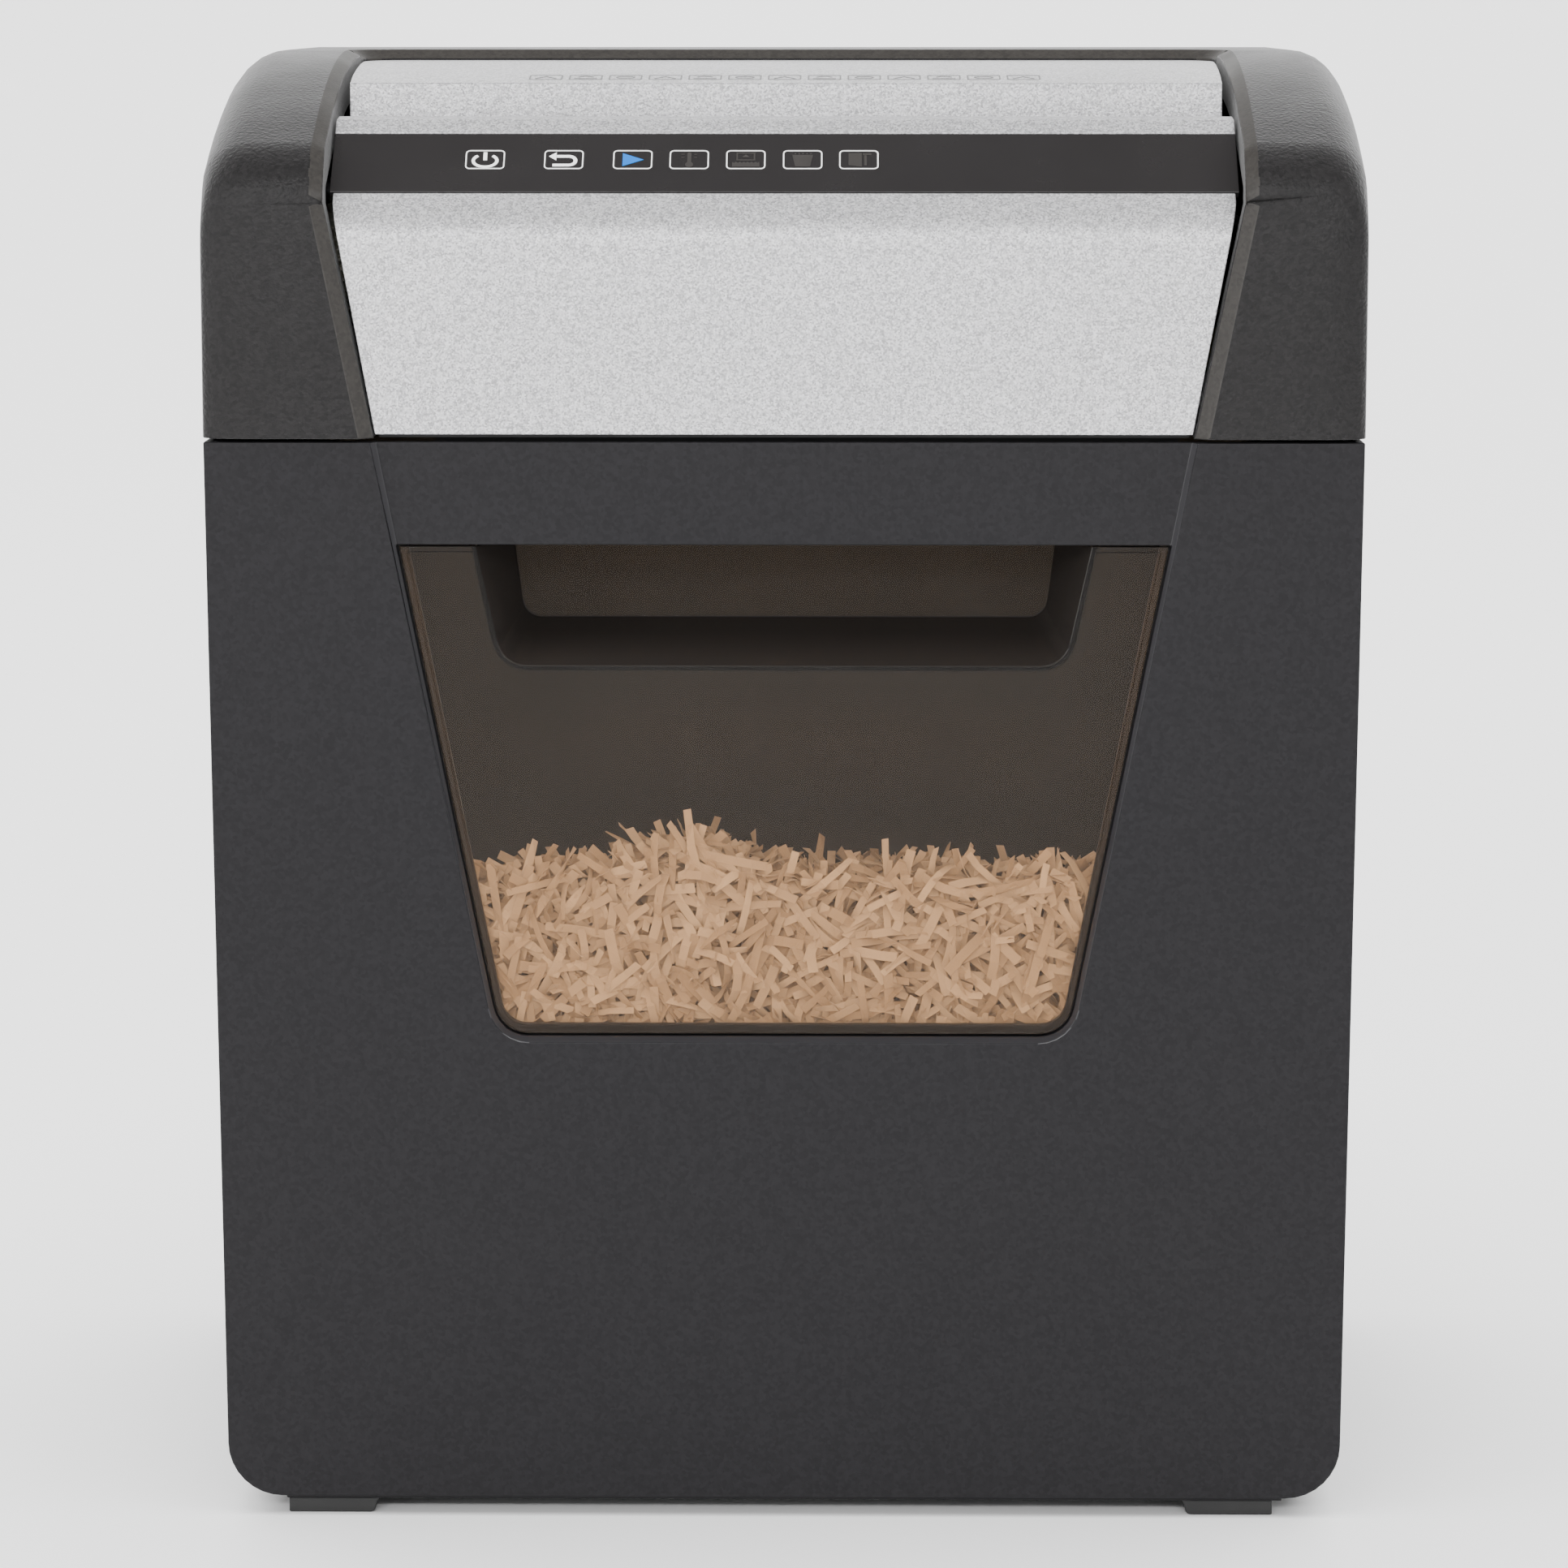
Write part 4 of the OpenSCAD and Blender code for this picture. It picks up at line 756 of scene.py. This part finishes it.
def heat_symbol(ink, x):
    bulb = curve(0, -2.2, 1.25, 120, 420, 12)
    stem = [(0.62, 2.9), (0.3, 3.3), (-0.3, 3.3), (-0.62, 2.9)]
    ink.solid(moved(bulb + stem, x))
    for height in (2.4, 1.0):
        for side in (-1, 1):
            ink.line(moved(sorted([(side * 1.4, height), (side * 2.4, height)]), x), 0.3)


def jam_symbol(ink, x):
    ink.band(moved([(-2.9, -0.4), (2.9, -0.4), (2.9, 3.2), (-2.9, 3.2)], x),
             moved([(-2.4, 0.1), (2.4, 0.1), (2.4, 2.7), (-2.4, 2.7)], x))
    ink.solid(moved([(-1.2, 1.1), (1.2, 1.1), (0, 2.4)], x))
    teeth = [(4.2 - 0.6 * i, -1.0 - 0.45 * (i % 2)) for i in range(15)]
    ink.solid(moved([(-4.2, -3.2), (4.2, -3.2)] + teeth, x))


def bin_symbol(ink, x):
    ink.solid(moved([(-2.3, -3.1), (2.3, -3.1), (3.2, 2.2), (-3.2, 2.2)], x))
    for i in range(5):
        ink.solid(moved([(-2.6 + 1.2 * i, 2.6), (-2.0 + 1.2 * i, 2.5), (-2.2 + 1.2 * i, 3.1)], x))


def door_symbol(ink, x):
    ink.solid(moved([(-3.2, -2.5), (0.9, -3.2), (0.9, 3.0), (-3.2, 3.0)], x))
    ink.line(moved([(2.0, -2.6), (2.0, 2.0)], x), 0.8)
    ink.line(moved([(1.2, 2.5), (3.9, 2.5)], x), 0.7)


DRAWING = {
    "heat": heat_symbol,
    "jam": jam_symbol,
    "bin": bin_symbol,
    "door": door_symbol,
}


def strip_symbols():
    lines = Ink(STRIP_POINT, STRIP_UP)
    ghosts = Ink(STRIP_POINT, STRIP_UP)
    lamp = Ink(STRIP_POINT, STRIP_UP)
    for x, kind in STRIP_SYMBOLS:
        framed(lines, x, STRIP_FRAME, FRAME_LINE, 1.4)
        if kind == "power":
            power_symbol(lines, x)
        elif kind == "reverse":
            reverse_symbol(lines, x)
        elif kind == "play":
            lamp.solid(moved([(-3.1, -2.9), (3.3, 0), (-3.1, 2.9)], x))
        else:
            DRAWING[kind](ghosts, x)
    lines.piece("strip_symbols", "print")
    ghosts.piece("unlit_symbols", "ghost")
    lamp.piece("start_lamp", "lit")


def plate_symbols():
    """Thirteen faint plain marks on the front slope of the entry plate."""
    marks = Ink(PLATE_POINT, PLATE_UP)
    for i in range(PLATE_MARKS):
        x = PLATE_FIRST_X + PLATE_PITCH * i
        framed(marks, x, PLATE_FRAME, PLATE_LINE, 0.9)
        if i % 3 == 0:
            marks.line(moved([(-3.2, -2.4), (0, 1.4), (3.2, -2.4)], x), 0.6)
        elif i % 3 == 1:
            marks.line(moved(curve(0, -0.4, 2.4, 20, 160, 8), x), 0.6)
            marks.line(moved([(-3.6, -2.2), (3.6, -2.2)], x), 0.6)
        else:
            marks.band(moved(ring(6, 3.6, 1.6), x), moved(ring(4.8, 2.4, 1.0), x))
    marks.piece("plate_symbols", "faint")


PLATE_FRONT = Vector((0, -0.076, 0.4444))
PLATE_RISE = Vector((0, -0.060, 0.4467))
PLATE_UP = (PLATE_RISE - PLATE_FRONT).normalized()
PLATE_POINT = PLATE_FRONT + PLATE_UP * PLATE_MARKS_UP * MM

strip_symbols()
plate_symbols()


# ======== floor, light and camera ========
def pale_floor():
    """The floor, which sweeps up into a back wall behind the machine."""
    mesh = bpy.data.meshes.new("floor")
    turns = [math.pi / 2 * i / SWEEP_STEPS for i in range(SWEEP_STEPS + 1)]
    bend = [(WALL_Y - SWEEP_R + SWEEP_R * math.sin(a), SWEEP_R - SWEEP_R * math.cos(a)) for a in turns]
    line = [(-FLOOR_HALF, 0)] + bend + [(WALL_Y, WALL_HIGH)]
    points = [(x, y, z) for y, z in line for x in (-FLOOR_HALF, FLOOR_HALF)]
    mesh.from_pydata(points, [], [(2 * i, 2 * i + 1, 2 * i + 3, 2 * i + 2) for i in range(len(line) - 1)])
    for face in mesh.polygons:
        face.use_smooth = True
    floor = bpy.data.objects.new("floor", mesh)
    bpy.context.scene.collection.objects.link(floor)
    mesh.materials.append(finish("pale_floor", (0.93, 0.93, 0.93), 0.6, drift=0.005, drift_scale=2, grain=300,
                                 depth=0.01, specular=0.2))


def soft_light(name, at, aim, width, height, power):
    lamp = bpy.data.lights.new(name, "AREA")
    lamp.shape = "RECTANGLE"
    lamp.size = width
    lamp.size_y = height
    lamp.energy = power
    light = bpy.data.objects.new(name, lamp)
    bpy.context.scene.collection.objects.link(light)
    light.location = at
    light.rotation_euler = (Vector(aim) - Vector(at)).to_track_quat("-Z", "Y").to_euler()
    return light


def pale_room():
    """World light: a bright wall all round the horizon under a dimmer ceiling."""
    world = bpy.data.worlds.new("studio")
    world.use_nodes = True
    tree = world.node_tree
    place = tree.nodes.new("ShaderNodeTexCoord")
    split = tree.nodes.new("ShaderNodeSeparateXYZ")
    height = tree.nodes.new("ShaderNodeMapRange")
    height.interpolation_type = "SMOOTHSTEP"
    height.inputs["From Min"].default_value = WALL_TOP
    height.inputs["From Max"].default_value = CEILING_FROM
    tree.links.new(place.outputs["Generated"], split.inputs["Vector"])
    tree.links.new(split.outputs["Z"], height.inputs["Value"])
    tone = two_tone(tree, height.outputs["Result"], WALL_LIGHT, CEILING_LIGHT)
    tree.links.new(tone, tree.nodes["Background"].inputs["Color"])
    bpy.context.scene.world = world


def studio():
    pale_room()
    overhead = soft_light("overhead", *OVERHEAD)
    overhead.visible_glossy = False
    soft_light("front", *FRONT)
    soft_light("side", *SIDE)


def place_camera():
    lens = bpy.data.cameras.new("camera")
    lens.lens = CAMERA_LENS_MM
    lens.sensor_width = 36
    camera = bpy.data.objects.new("camera", lens)
    bpy.context.scene.collection.objects.link(camera)
    camera.location = CAMERA_AT
    camera.rotation_euler = (math.radians(CAMERA_TILT_DEG), 0, math.radians(CAMERA_YAW_DEG))
    bpy.context.scene.camera = camera


pale_floor()
studio()
place_camera()
